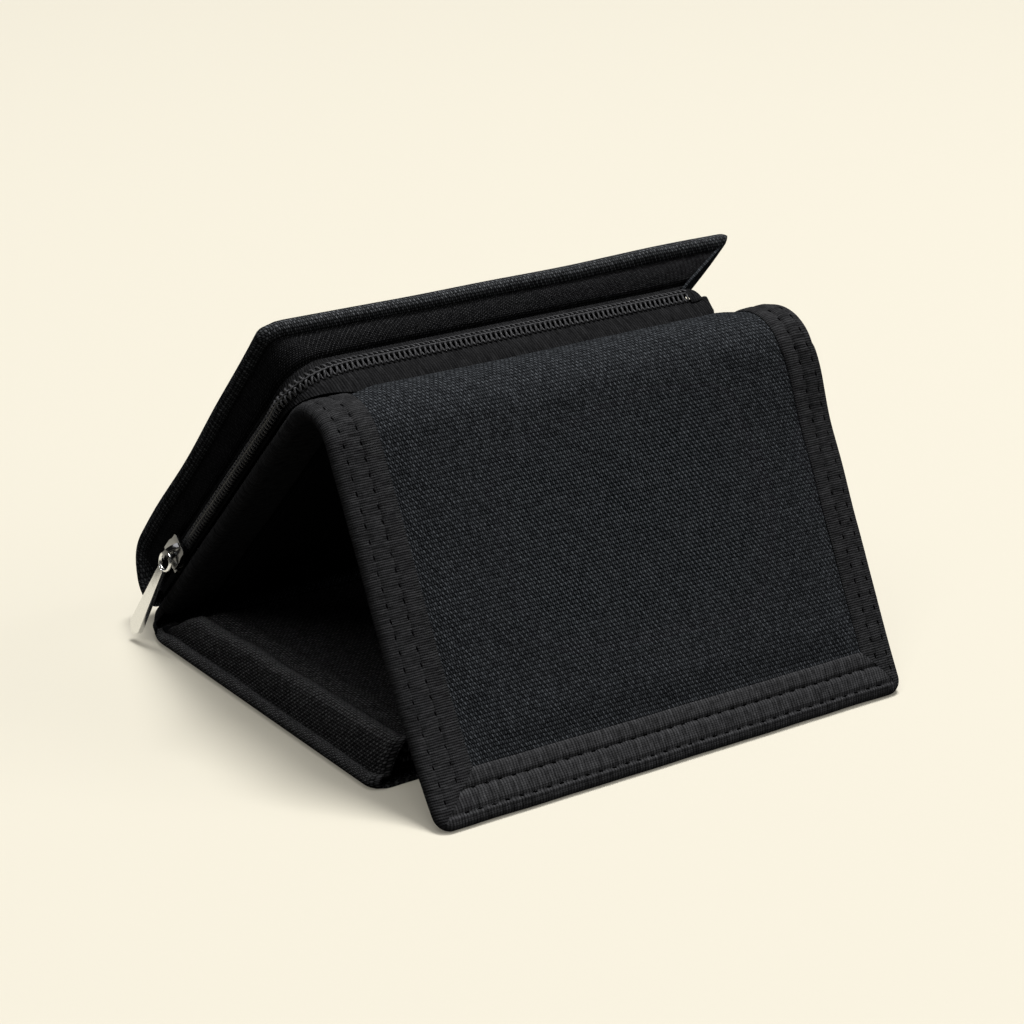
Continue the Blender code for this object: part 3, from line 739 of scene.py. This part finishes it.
foldRuns = (-bottomArc - tapeEnds["fold"][0], tapeEnds["fold"][1])
for side, word in ((-1, "left"), (1, "right")):
    front = sideTape(word + "TapeFront", side, (tapeEnds["front"], footRun), 230, (0, 1))
    foldBlend(front)
    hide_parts(f"flap_{word}_binding", f"top_fold_{word}_binding", f"middle_{word}_binding")
    low = sideTape(word + "TapeFold", side, foldRuns, 44, bendShare=0.7)
    foldBlend(low)
    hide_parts(f"bottom_fold_{word}_binding")
leafRightTape = sideTape("leafRightTape", 1, (leafEnd, -bottomArc - tapeEnds["leaf"]), 90, (1, 0))
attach(leafRightTape, "inner_leaf")
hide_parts("leaf_right_binding")
footTape = endTape("footTape", footRun, 1, (-half, half), (1, 1), footRib)
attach(footTape, "front_flap")
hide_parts("flap_foot_binding")
leafEndTape = endTape("leafEndTape", leafEnd, -1, (-half + tapeEnds["leafLeft"], half), (0, 1), edgeTape)
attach(leafEndTape, "inner_leaf")
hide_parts("leaf_end_binding")
print("panels and tapes ready")


# stitching along the tapes

stitch = {
    "size": (0.42 * mm, 1.25 * mm, 0.3 * mm),
    "lift": 0.06 * mm,
    "slip": 0.28 * mm,
    "lean": (0.12, 0.5),
}


def oneStitch(size):
    bpy.ops.object.select_all(action="DESELECT")
    bpy.ops.mesh.primitive_uv_sphere_add(segments=8, ring_count=6, radius=0.5)
    made = bpy.context.object
    editAll(made, lambda: bpy.ops.transform.resize(value=size))
    corners = [vertex.co.copy() for vertex in made.data.vertices]
    faces = [tuple(face.vertices) for face in made.data.polygons]
    bpy.data.objects.remove(made)
    return corners, faces


stitchCorners, stitchFaces = oneStitch(stitch["size"])


def sew(name, spots):
    # copies the stitch to each spot, given as its place, the way it runs and the way it faces
    corners, faces = [], []
    for place, along, out in spots:
        across = along.cross(out).normalized()
        start = len(corners)
        corners += [place + across * c.x + along * c.y + out * c.z for c in stitchCorners]
        faces += [tuple(start + corner for corner in face) for face in stitchFaces]
    mesh = bpy.data.meshes.new(name)
    mesh.from_pydata(corners, [], faces)
    piece = newObject(name, mesh)
    fixNormals(piece)
    bpy.ops.object.shade_smooth()
    return dress(piece, thread)


def stitchPlaces(low, high):
    # one stitch in the middle of each pitch
    pitch = tapeStitch["pitch"]
    first, last = math.ceil(low / pitch), math.floor(high / pitch)
    return [(number + 0.5) * pitch for number in range(first, last)]


def stitchOn(x, run, alongX, alongRun):
    # a stitch on the outer face, running a little on the slant, no two quite alike
    slip = stitch["slip"] * Vector((wave(x, run, 0.0021, 11.0), wave(x, run, 0.0021, 12.0)))
    x, run = x + slip.x, run + slip.y
    lean = stitch["lean"][0] + stitch["lean"][1] * wave(x, run, 0.0027, 13.0)
    step = Vector((alongX + lean * alongRun, alongRun + lean * alongX)) * 0.5 * mm
    place = wrap(x, run, stitch["lift"])
    along = (wrap(x + step.x, run + step.y, 0) - wrap(x - step.x, run - step.y, 0)).normalized()
    out = (wrap(x, run, -1 * mm) - wrap(x, run, 0)).normalized()
    return place, along, out


sideRows, footRows = [], []
for side, word in ((-1, "left"), (1, "right")):
    for fromEdge in tapes[word]["rows"]:
        for run in stitchPlaces(split, footRun - fromEdge):
            sideRows.append(stitchOn(side * (half - fromEdge), run, 0.0, 1.0))
for fromEdge in tapes["foot"]["rows"]:
    for x in stitchPlaces(fromEdge - half, half - fromEdge):
        footRows.append(stitchOn(x, footRun - fromEdge, 1.0, 0.0))
sideStitches = sew("sideStitches", sideRows)
foldBlend(sideStitches)
footStitches = sew("footStitches", footRows)
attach(footStitches, "front_flap")
print("stitches ready")


# zip pocket on the back of the middle panel

pocket = {
    "foot": 8.6 * mm,
    "top": 103.5 * mm,
    "footDepth": 12.2 * mm,
    "topDepth": 18.3 * mm,
    "sag": 1.6,
    "corner": 5.2 * mm,
    "proud": 1.0 * mm,
    "bellies": ((3.1 * mm, 0.17, 0.34), (1.1 * mm, 0.68, 0.2)),
    "tipUp": 0.7 * mm,
    "rightIn": 1.3 * mm,
    "roll": (5.9 * mm, 6.2 * mm),
    "rollTurn": (math.radians(145), math.radians(60)),
    "rollMiddle": 6.0 * mm,
    "footCurve": 11.7 * mm,
    "rimInset": 2.2 * mm,
    "rimDepth": 3.1 * mm,
    "rimCorner": 3.0 * mm,
    "rimEnd": 3.0 * mm,
    "rimTip": (16.0 * mm, 14.0 * mm, 1.0 * mm),
    "padRadius": 1.7 * mm,
    "padSway": 0.35 * mm,
    "pleat": 18.0 * mm,
    "pleatEnds": (10.0 * mm, 102.3 * mm),
    "pleatCut": 12.0 * mm,
    "pleatFold": 0.42,
    "pleatSeams": (2.0 * mm, 0.8 * mm),
}
zipper = {
    "pitch": 1.27 * mm,
    "left": -half + 2.0 * mm,
    "bottom": 10.0 * mm,
    "top": 103.0 * mm,
    "rightEnd": 43.0 * mm,
    "cornerRadius": 10.0 * mm,
    "sideDepth": 3.7 * mm,
    "topDepth": 5.6 * mm,
    "lean": math.radians(30.0),
    "turnEase": 6.0 * mm,
    "sliderAt": 29.0 * mm,
    "foldSeam": math.radians(36.0),
    "wire": 0.26 * mm,
    "drawn": 0.62,
    "endRound": 3.2 * mm,
    "tapeEdge": 0.9 * mm,
    "tapeHeight": -0.15 * mm,
    "tapeThick": 0.35 * mm,
    "outerWidth": 3.6 * mm,
    "innerSeam": 3.4 * mm,
    "turnAcross": (1.25 * mm, 0.85 * mm),
    "turnHeight": (0.7 * mm, 0.4 * mm, 0.32 * mm),
    "head": (0.07 * mm, 1.12 * mm, 0.24 * mm),
}
zipSide = zipper["top"] - zipper["cornerRadius"] - zipper["bottom"]
zipCorner = zipper["cornerRadius"] * math.pi / 2
zipTop = zipper["rightEnd"] - zipper["left"] - zipper["cornerRadius"]
zipLength = zipSide + zipCorner + zipTop


def coverDepth(up):
    reach = max((up - pocket["foot"]) / (pocket["top"] - pocket["foot"]), 0.0)
    depth = between((pocket["footDepth"], pocket["topDepth"]), reach ** pocket["sag"]) + pocket["proud"]
    return depth + sum(size * hump(reach, middle, spread) for size, middle, spread in pocket["bellies"])


rollStart, rollEnd = pocket["rollTurn"]
coverRoll = pocket["roll"][0] * (rollStart - rollEnd)
joinUp = pocket["foot"] - pocket["roll"][0] * math.sin(rollEnd)
joinDepth = pocket["rollMiddle"] + pocket["roll"][1] * math.cos(rollEnd)
coverRun = coverRoll + pocket["top"] - joinUp


def coverProfile(x, up):
    # the outer face: steep where it leaves the rolled foot, then nearly flat
    flat = coverDepth(up) + pocket["tipUp"] * clamp(x / half) * up / pocket["top"]
    past = clamp((up - joinUp) / pocket["footCurve"])
    return joinDepth + (flat - joinDepth) * (1 - (1 - past) ** 3)


def coverSpot(x, run, inset):
    # a place on the cover: run counts up from the middle of its rolled foot
    if run < coverRoll:
        turn = rollStart - run / pocket["roll"][0]
        up = pocket["foot"] - (pocket["roll"][0] - inset) * math.sin(turn)
        return onBack(x, up, pocket["rollMiddle"] + (pocket["roll"][1] - inset) * math.cos(turn))
    up = joinUp + run - coverRoll
    depth = coverProfile(x, up)
    step = 0.2 * mm
    slope = (coverProfile(x, up + step) - depth) / step
    steep = math.sqrt(1 + slope**2)
    return onBack(x, up + inset * slope / steep, depth - inset / steep)


def makeCoverPad():
    # a padded cover: outer cloth up to the rim, round it, and the lining down the inside
    radius, corner = pocket["padRadius"], pocket["corner"]
    bend = math.pi * radius
    columns, rows, rimSteps = 72, 170, 6

    def edgeAt(a):
        # place across the cover, and half its thickness there
        number = round(a * columns)
        near = min(number, columns - number)
        side = -1 if number < columns / 2 else 1
        if near <= rimSteps:
            turn = math.pi / 2 * near / rimSteps
            edge = half - radius * (1 - math.cos(turn)) - (pocket["rightIn"] if side > 0 else 0.0)
            return side * edge, radius * math.sin(turn)
        share = (number - rimSteps) / (columns - 2 * rimSteps)
        return (-half + radius) + (2 * half - 2 * radius - pocket["rightIn"]) * share, radius

    def place(a, b):
        x, puff = edgeAt(a)
        inCorner = max(corner - x - half, 0.0)
        cut = corner - math.sqrt(max(corner**2 - inCorner**2, 0.0))
        top = coverRun - cut - puff
        path = b * (2 * coverRun + bend)
        sway = pocket["padSway"] * wave(x, path, 0.03, 5.0)
        if path < coverRun:
            return coverSpot(x, path / coverRun * top, radius - puff + sway)
        if path < coverRun + bend:
            turn = math.pi * (path - coverRun) / bend
            return coverSpot(x, top + puff * math.sin(turn), radius - puff * math.cos(turn) + sway)
        back = (path - coverRun - bend) / coverRun
        return coverSpot(x, top * (1 - back), radius + puff + sway)

    def flat(a, b):
        return edgeAt(a)[0], b * (2 * coverRun + bend)

    piece = newGrid("pocketCoverPad", (columns, rows), place, flat)
    editAll(piece, lambda: bpy.ops.mesh.remove_doubles(threshold=0.00001))
    fixNormals(piece)
    bpy.ops.object.shade_smooth()
    return dress(piece, litCoverNylon)


coverPad = makeCoverPad()
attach(coverPad, "pocket_cover")
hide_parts("cover_shell", "cover_board", "cover_lining")


def zipPlace(s):
    if s <= zipSide:
        return zipper["left"], zipper["bottom"] + s, -1.0, 0.0
    past = s - zipSide
    radius = zipper["cornerRadius"]
    if past <= zipCorner:
        turn = past / radius
        outX, outUp = -math.cos(turn), math.sin(turn)
        return zipper["left"] + radius + outX * radius, zipper["top"] - radius + outUp * radius, outX, outUp
    return zipper["left"] + radius + past - zipCorner, zipper["top"], 0.0, 1.0


def zipTurned(s):
    return ease((s - zipSide + zipper["turnEase"]) / (zipCorner + 2 * zipper["turnEase"]))


def zipSpot(s, across, height):
    # across the tape, away from the panel, and height off its face; drawn narrower along the left side
    x, up, outX, outUp = zipPlace(s)
    turned = zipTurned(s)
    across *= zipper["drawn"] + (1 - zipper["drawn"]) * turned
    depth = between((zipper["sideDepth"], zipper["topDepth"]), turned)
    lean = zipper["lean"] * turned
    outward = height * math.cos(lean) - across * math.sin(lean)
    depth += across * math.cos(lean) + height * math.sin(lean)
    return onBack(x + outX * outward, up + outUp * outward, depth)


def coverRim(s):
    x, up, outX, outUp = zipPlace(s)
    left = -half + pocket["rimInset"]
    top = pocket["top"] - pocket["rimInset"]
    radius = pocket["rimCorner"]
    corner = (left + radius, top - radius)
    if s <= zipSide:
        x, up = left, up + (corner[1] - zipper["top"] + zipper["cornerRadius"]) * s / zipSide
    elif outUp < 1.0:
        x, up = corner[0] + outX * radius, corner[1] + outUp * radius
    else:
        share = (s - zipSide - zipCorner) / zipTop
        x, up = corner[0] + (half - pocket["rimEnd"] - corner[0]) * share, top
    tipFrom, tipRun, tipOut = pocket["rimTip"]
    nearTip = ease((x - half + tipFrom) / tipRun)
    return onBack(x, up, coverDepth(up) - pocket["rimDepth"] + tipOut * nearTip)


def zipSheet(name, spans, steps, material, place, width, thickness):
    # a strip that follows the zip: s along it, b across it
    def spot(a, b):
        return place(between(spans, a), b)

    def flat(a, b):
        return b * width, (spans[1] - spans[0]) * a

    return laySheet(name, steps, spot, flat, thickness, material)


def outerTapeSpot(s, b):
    across = zipper["tapeEdge"] + zipper["outerWidth"] * b
    return zipSpot(s, across, zipper["tapeHeight"] - 0.1 * mm * b)


def innerTapeSpot(s, b):
    turned = zipTurned(s) ** 1.6
    near = zipSpot(s, -zipper["tapeEdge"], zipper["tapeHeight"])
    seamSide = zipSpot(s, -zipper["innerSeam"], zipper["tapeHeight"])
    seamRun = wallet["middle"] + wallet["topRadius"] * zipper["foldSeam"]
    seam = seamSide.lerp(wrap(zipPlace(s)[0], seamRun, 0.35 * mm), turned)
    swell = 0.5 * mm * turned * math.sin(math.pi * b)
    past = clamp((s - zipLength) / zipper["endRound"])  # its end is rounded off
    seam = near.lerp(seam, math.sqrt(max(1 - past**2, 0.02)))
    return near.lerp(seam, b) + (middleTurn @ Vector((0, 1, 0))) * swell


band = {
    "near": (4.2 * mm, -0.35 * mm),
    "foldIn": 0.9 * mm,
    "foldAt": (0.12, 0.07),
    "belly": 0.6 * mm,
    "crumple": 0.35 * mm,
    "spans": (0.5 * mm, zipLength + 1.2 * mm),
    "joins": (8.6 * mm, 13.0 * mm),
}


def bandSpot(s, b):
    near = zipSpot(s, *band["near"])
    outX, outUp = zipPlace(s)[2:]
    out = middleTurn @ Vector((outX, outUp, 0.0))
    fold = band["foldIn"] * hump(b, *band["foldAt"])
    belly = band["belly"] * math.sin(math.pi * clamp((b - 0.15) / 0.85)) * (0.6 + 0.6 * zipTurned(s))
    crumple = band["crumple"] * wave(s, b * 0.006, 0.012, 9.0) * math.sin(math.pi * b)
    return near.lerp(coverRim(s), b) + out * (belly - fold + crumple)


tapeThick = zipper["tapeThick"]
innerSpans = (0, zipLength + zipper["endRound"])
outerZipTape = zipSheet(
    "outerZipTape", (0, zipLength), (230, 6), zipTape, outerTapeSpot, zipper["outerWidth"], tapeThick
)
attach(outerZipTape, "middle")
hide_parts("zip_outer_tape")
innerZipTape = zipSheet("innerZipTape", innerSpans, (230, 14), zipTape, innerTapeSpot, 7.5 * mm, tapeThick)
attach(innerZipTape, "middle")
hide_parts("zip_inner_tape")
pocketBand = zipSheet("pocketBand", band["spans"], (230, 36), bandCloth, bandSpot, 9.0 * mm, 0.5 * mm)
bandStart, bandEnd = (onBack(0, 60 * mm, depth) for depth in band["joins"])
tuple(bandStart)
tuple(bandEnd)
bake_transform(pocketBand)
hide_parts("pocket_band")


def makePleat():
    # the pocket's right side, folded inwards along its middle
    low, high = pocket["pleatEnds"]
    coverSeam, panelSeam = pocket["pleatSeams"]

    def place(a, b):
        up = low + (high - pocket["pleatCut"] * clamp(2 * a - 1) - low) * b
        depth = coverDepth(up) - coverSeam
        foldDepth = pocket["pleatFold"] * depth
        inward = 1.0 - abs(2.0 * a - 1.0)
        soft = inward - 0.06 * hump(a, 0.5, 0.05)
        x = half - pocket["rimInset"] - pocket["pleat"] * soft
        off = between((foldDepth, depth if a < 0.5 else panelSeam), abs(2 * a - 1))
        return onBack(x, up, off + 0.3 * mm * wave(x, up, 0.02, 3.0) * inward)

    def flat(a, b):
        return a * 2 * pocket["pleat"], low + (high - low) * b

    return laySheet("pocketPleat", (60, 80), place, flat, 0.6 * mm, nylon, high - low)


pocketPleat = makePleat()
pleatStart, pleatEnd = onBack(0, 60 * mm, 1.2 * mm), onBack(0, 60 * mm, 11.0 * mm)
tuple(pleatStart)
tuple(pleatEnd)
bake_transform(pocketPleat)
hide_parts("pleat_outer_leaf", "pleat_inner_leaf")


def tubeThrough(name, points, radius):
    # a fine tube through a row of points
    curve = bpy.data.curves.new(name, "CURVE")
    curve.dimensions = "3D"
    curve.bevel_depth = radius
    curve.bevel_resolution = 1
    spline = curve.splines.new("POLY")
    spline.points.add(len(points) - 1)
    for spot, point in zip(spline.points, points):
        spot.co = (*point, 1.0)
    pickOnly(newObject(name, curve))
    bpy.ops.object.convert(target="MESH")
    piece = bpy.context.object
    piece.name = name
    fixNormals(piece)
    bpy.ops.object.shade_smooth()
    return dress(piece, coilNylon)


coilStart = zipper["sliderAt"] - zipper["bottom"] - 0.75 * mm
coilEnd = zipLength - zipper["pitch"]


def chainTube(name, perTurn, spotAt, radius):
    # a tube along the chain, with a few points to each turn
    count = int((coilEnd - coilStart) / zipper["pitch"] * perTurn)
    return tubeThrough(name, [spotAt(number / perTurn) for number in range(count)], radius)


def makeCoil(name, side):
    # one half of the chain: a wire wound in flat turns that stand between the other half's turns
    middle, reach = zipper["turnAcross"]
    level, rise, tilt = zipper["turnHeight"]

    def spotAt(turn):
        angle = 2 * math.pi * turn
        s = coilStart + (turn + (0.5 if side > 0 else 0.0)) * zipper["pitch"]
        across = side * (middle + reach * math.cos(angle))
        return zipSpot(s, across, level + rise * math.sin(angle) - tilt * math.cos(angle))

    return chainTube(name, 8, spotAt, zipper["wire"])


def headSpot(turn):
    # the heads of the turns meet in a line along the middle of the chain
    aside, level = zipper["head"][:2]
    return zipSpot(coilStart + zipper["pitch"] * turn, aside if turn % 1 < 0.5 else -aside, level)


coilHeads = chainTube("coilHeads", 4, headSpot, zipper["head"][2])
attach(coilHeads, "middle")
for side, word in ((-1, "inner"), (1, "outer")):
    coil = makeCoil(word + "Coil", side)
    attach(coil, "middle")
    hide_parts(f"zip_{word}_coil")
print("pocket and zip ready")


# metal of the zip

metalEdges = {"slider": 0.16 * mm, "pull": 0.22 * mm, "stop": 0.12 * mm}
pullTab = {"neck": 5.0 * mm, "longer": 0.25}


def softMetal(node, name, edge, material):
    # a copy of the solid with its corners rounded off
    piece = newObject(name, frame["nodes"][node].data.copy())
    editAll(
        piece,
        lambda: bpy.ops.mesh.remove_doubles(threshold=0.000005),
        lambda: bpy.ops.mesh.dissolve_limited(angle_limit=math.radians(2)),
    )
    roundEdges(piece, edge, 3, 35)
    bpy.ops.object.shade_smooth_by_angle(angle=math.radians(40))
    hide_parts(node)
    return dress(piece, material)


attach(softMetal("zip_slider", "zipSlider", metalEdges["slider"], darkPlated), "zip_slider")
zipPull = softMetal("zip_pull", "zipPull", metalEdges["pull"], plated)
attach(zipPull, "zip_pull")
corners = sorted((vertex.co.copy() for vertex in zipPull.data.vertices), key=lambda spot: spot.z)
downPull = (corners[0] - corners[-1]).normalized()
for vertex in zipPull.data.vertices:
    pastNeck = (vertex.co - corners[-1]).dot(downPull) - pullTab["neck"]
    vertex.co += downPull * max(pastNeck, 0.0) * pullTab["longer"]  # the photo's tab is longer
for word in ("inner", "outer"):
    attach(softMetal(f"zip_{word}_stop", word + "Stop", metalEdges["stop"], darkPlated), "middle")


endTab = {"start": -1.6 * mm, "length": 3.6 * mm, "half": 2.7 * mm, "height": (0.1 * mm, 1.2 * mm)}


def makeEndTab():
    # cloth sewn over the end of the chain
    def place(a, b):
        crown = math.sin(math.pi * clamp(b)) ** 0.6 * math.sqrt(max(1 - a**2, 0.0))
        s = zipLength + endTab["start"] + endTab["length"] * a
        across = endTab["half"] * (1 - 2 * b) * (1 - 0.35 * a**3)
        return zipSpot(s, across, between(endTab["height"], crown))

    def flat(a, b):
        return b * 7 * mm, a * 3.2 * mm

    return laySheet("zipEndTab", (12, 16), place, flat, 0.4 * mm, zipTape)


zipEndTab = makeEndTab()
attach(zipEndTab, "middle")
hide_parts("zip_end_tab")


# pocket stack on the inner leaf

stack = {
    "start": 5.2 * mm,
    "far": bottomArc / 2 + wallet["leaf"],
    "base": 3.6 * mm,
    "sleeve": 1.6 * mm,
    "gap": 0.25 * mm,
    "thin": 0.6,
    "thinFrom": 14.0 * mm,
    "foldRoom": (0.5, 1.6 * mm, 2.9 * mm),
    "lean": 0.45,
    "sideRise": (0.55, 9.0 * mm),
    "endTurn": (3.2 * mm, 2.24 * mm),
    "crumple": 0.4 * mm,
    "mouths": (46.0 * mm, 33.0 * mm, 20.0 * mm),
    "sleeveLeft": 9.4 * mm,
    "sleeveStart": 16.0 * mm,
    "step": (0.6 * mm, 0.5 * mm),
}


def stackLevel(along, level):
    reach = (along - stack["thinFrom"]) / (wallet["leaf"] - stack["thinFrom"])
    full = stack["base"] + level * (stack["thin"] + (1 - stack["thin"]) * reach)
    slope, drop, least = stack["foldRoom"]  # room for the fold to close a little
    return min(full, max(slope * along - drop, least))


def throughPoints(points, t):
    # a smooth curve through a few points
    last = len(points) - 1
    place = clamp(t) * last
    number = min(int(place), last - 1)
    part = place - number
    four = [points[min(max(number + step, 0), last)] for step in (-1, 0, 1, 2)]
    return [
        0.5 * (2 * p1 + (p2 - p0) * part + (2 * p0 - 5 * p1 + 4 * p2 - p3) * part**2
        + (3 * p1 - p0 - 3 * p2 + p3) * part**3)
        for p0, p1, p2, p3 in zip(*four)
    ]


def leafSection(along):
    # the leaf's left side in mm, as distance in from the edge and height: rolled edge, slope, ridge, top
    top = stackLevel(along, 3 * stack["sleeve"] + 2 * stack["gap"]) / mm + 0.7
    rise = top - 3.0
    lean = stack["lean"] * rise
    return [
        (11.0, 0.2), (6.0, 0.15), (1.6, 0.15), (0.2, 1.3), (0.6, 2.7), (1.6, 3.0), (2.3, 2.6),
        (2.3 + 0.3 * lean, 3.1 + 0.3 * rise), (2.5 + 0.7 * lean, 3.1 + 0.72 * rise),
        (3.4 + lean, top + 0.3), (4.8 + lean, top + 0.35), (6.0 + lean, top - 0.4),
        (7.2 + lean, top - 0.05), (9.8 + lean, top), (11.4 + lean, top - 0.35),
    ]


def makeLeafSide():
    ends = (stack["start"], stack["far"])
    lowest, riseRun = stack["sideRise"]
    turnRun, turnIn = stack["endTurn"]

    def place(a, b):
        along = between(ends, b)
        fromEdge, height = (value * mm for value in throughPoints(leafSection(along), a))
        height *= between((lowest, 1.0), ease((along - ends[0]) / riseRun))
        nearEnd = clamp((ends[1] - along) / turnRun)
        fromEdge += turnIn * (1 - math.sqrt(max(1 - (1 - nearEnd) ** 2, 0.0)))
        crumple = stack["crumple"] * wave(along, height * 2, 0.016, 6.0)
        crumple *= clamp((height - 2 * mm) / (3 * mm))
        return leafSpot(-half + fromEdge + crumple, along, height + 0.5 * crumple)

    def flat(a, b):
        return a * 30 * mm, between(ends, b)

    length = ends[1] - ends[0]
    return laySheet("leafSide", (84, 110), place, flat, 0.45 * mm, sideCloth, length)


leafWeave = {"across": 0.5 * mm, "along": 0.6 * mm, "relief": 0.1 * mm}
# painted highlights on the leaf's ridge and rolled edge, and painted shade in the groove between them
leafPaintedLight = {"paintedLight": ((20.2 * mm, 2.4 * mm, 1.0), (9.6 * mm, 2.6 * mm, 0.5), (14.5 * mm, 4.0 * mm, -0.3))}
sideCloth = nylonMaterial("sideCloth", {**nylonLook, **leafWeave, "light": (0.12, 0.12, 0.122), **leafPaintedLight})
sleeveCloth = nylonMaterial("sleeveCloth", {**nylonLook, **leafWeave, "light": (0.1, 0.1, 0.103)})
leafSide = makeLeafSide()
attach(leafSide, "inner_leaf")
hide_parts("leaf_left_binding")


def makeLeafSleeve(number, mouth):
    level = number * (stack["sleeve"] + stack["gap"]) + stack["sleeve"] / 2
    xs = (-half + stack["sleeveLeft"] - stack["step"][0] * (2 - number), mouth)
    ends = (stack["sleeveStart"], stack["far"] - 1.0 * mm - stack["step"][1] * number)

    def flat(a, b):
        return between(xs, a), between(ends, b)

    def place(a, b):
        x, along = flat(a, b)
        sag = 0.5 * mm * wave(x, along, 0.035, 20.0 + number)
        return leafSpot(x, along, stackLevel(along, level) + 0.2 * mm + sag * math.sin(math.pi * a) * 0.5)

    name = f"leafSleeve{number + 1}"
    return laySheet(name, (50, 56), place, flat, 1.2 * mm, sleeveCloth)


innerSleeves = {
    "left": -half + 12.0 * mm,
    "middleRuns": (9.0 * mm, wallet["middle"] - 4.0 * mm),
    "middleLift": (3.2 * mm, 0.8 * mm),
    "flapRuns": (flapStart + 12.0 * mm, footRun - 14.0 * mm),
    "flapLift": 3.85 * mm,
    "steps": (40, 30),
}


for number, mouth in enumerate(stack["mouths"]):
    leafSleeve = makeLeafSleeve(number, mouth)
    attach(leafSleeve, "inner_leaf")
    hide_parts(f"leaf_card_sleeve_{number + 1}")
    lift = innerSleeves["middleLift"][0] + innerSleeves["middleLift"][1] * number
    middleSleeve = clothSheet(
        f"middleSleeve{number + 1}", (innerSleeves["left"], mouth), innerSleeves["middleRuns"], lift,
        innerSleeves["steps"], lining, liningThick,
    )
    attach(middleSleeve, "middle")
    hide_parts(f"middle_card_sleeve_{number + 1}")
flapSleeve = clothSheet(
    "flapSleeve", (innerSleeves["left"], stack["mouths"][0]), innerSleeves["flapRuns"],
    innerSleeves["flapLift"], innerSleeves["steps"], lining, liningThick,
)
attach(flapSleeve, "front_flap")
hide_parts("flap_card_sleeve")
print("leaf and sleeves ready")


# floor, light and camera

cameraView = {
    "place": (-345.36 * mm, -518.80 * mm, 276.18 * mm),
    "azimuth": math.radians(-34.04),
    "elevation": math.radians(21.43),
    "roll": math.radians(0.36),
    "lens": 105.13,
}


def addCamera(view):
    data = bpy.data.cameras.new("photoCamera")
    data.lens = view["lens"]
    data.sensor_width = 36.0
    data.clip_start = 0.01
    camera = newObject("photoCamera", data)
    camera.location = view["place"]
    turned = Matrix.Rotation(view["azimuth"], 4, "Z")
    turned = turned @ Matrix.Rotation(math.pi / 2 - view["elevation"], 4, "X")
    turned = turned @ Matrix.Rotation(view["roll"], 4, "Z")
    camera.rotation_euler = turned.to_euler()
    bpy.context.scene.camera = camera


studio = {
    "floor": (0.527, 0.496, 0.415),
    "floorBounce": (0.09, 0.088, 0.082),
    "backdrop": (0.945, 0.89, 0.74),
    "backdropShare": 0.14,
    "world": (1.0, 1.0, 1.0),
    "worldStrength": 0.035,
    "key": ((0.56, 0.3, 3.2), 0.9, 146.0),
    "sky": ((-0.9, -0.7, 3.2), 2.4, 50.0),
    "fill": ((2.0, -2.0, 1.9), 1.8, 26.0),
}


def addLamp(name, place, size, power):
    data = bpy.data.lights.new(name, "AREA")
    data.shape = "SQUARE"
    data.size = size
    data.energy = power
    lamp = newObject(name, data)
    lamp.location = place
    lamp.rotation_euler = Vector(place).to_track_quat("Z", "Y").to_euler()


def addStudio(look):
    bpy.ops.object.select_all(action="DESELECT")
    bpy.ops.mesh.primitive_plane_add(size=8.0, location=(0, 0, -0.0002))
    floor = bpy.context.object
    floor.name = "paleFloor"
    made, tree, shader = startMaterial("paleFloor")
    rays = tree.nodes.new("ShaderNodeLightPath")
    seen = Sum(tree, rays.outputs["Is Camera Ray"]).calc("MAXIMUM", rays.outputs["Is Glossy Ray"])
    tint = tree.nodes.new("ShaderNodeMix")
    tint.data_type = "RGBA"
    tint.inputs["A"].default_value = (*look["floorBounce"], 1.0)
    tint.inputs["B"].default_value = (*look["floor"], 1.0)
    link(tree, seen, tint.inputs["Factor"])
    link(tree, tint.outputs["Result"], shader.inputs["Base Color"])
    setGloss(shader, 0.9, 0.1)
    paper = tree.nodes.new("ShaderNodeEmission")  # an even paper tone for the camera, with the shadow kept
    paper.inputs["Color"].default_value = (*look["backdrop"], 1.0)
    mixed = tree.nodes.new("ShaderNodeMixShader")
    link(tree, seen * look["backdropShare"], mixed.inputs["Fac"])
    link(tree, shader.outputs["BSDF"], mixed.inputs[1])
    link(tree, paper.outputs["Emission"], mixed.inputs[2])
    link(tree, mixed.outputs["Shader"], tree.nodes["Material Output"].inputs["Surface"])
    floor.data.materials.append(made)
    world = bpy.data.worlds.new("paleRoom")
    bpy.context.scene.world = world
    world.use_nodes = True
    sky = world.node_tree.nodes["Background"]
    sky.inputs["Color"].default_value = (*look["world"], 1.0)
    sky.inputs["Strength"].default_value = look["worldStrength"]
    for name in ("key", "sky", "fill"):
        addLamp(name + "Lamp", *look[name])


addCamera(cameraView)
addStudio(studio)
bpy.context.scene.view_settings.view_transform = "Standard"
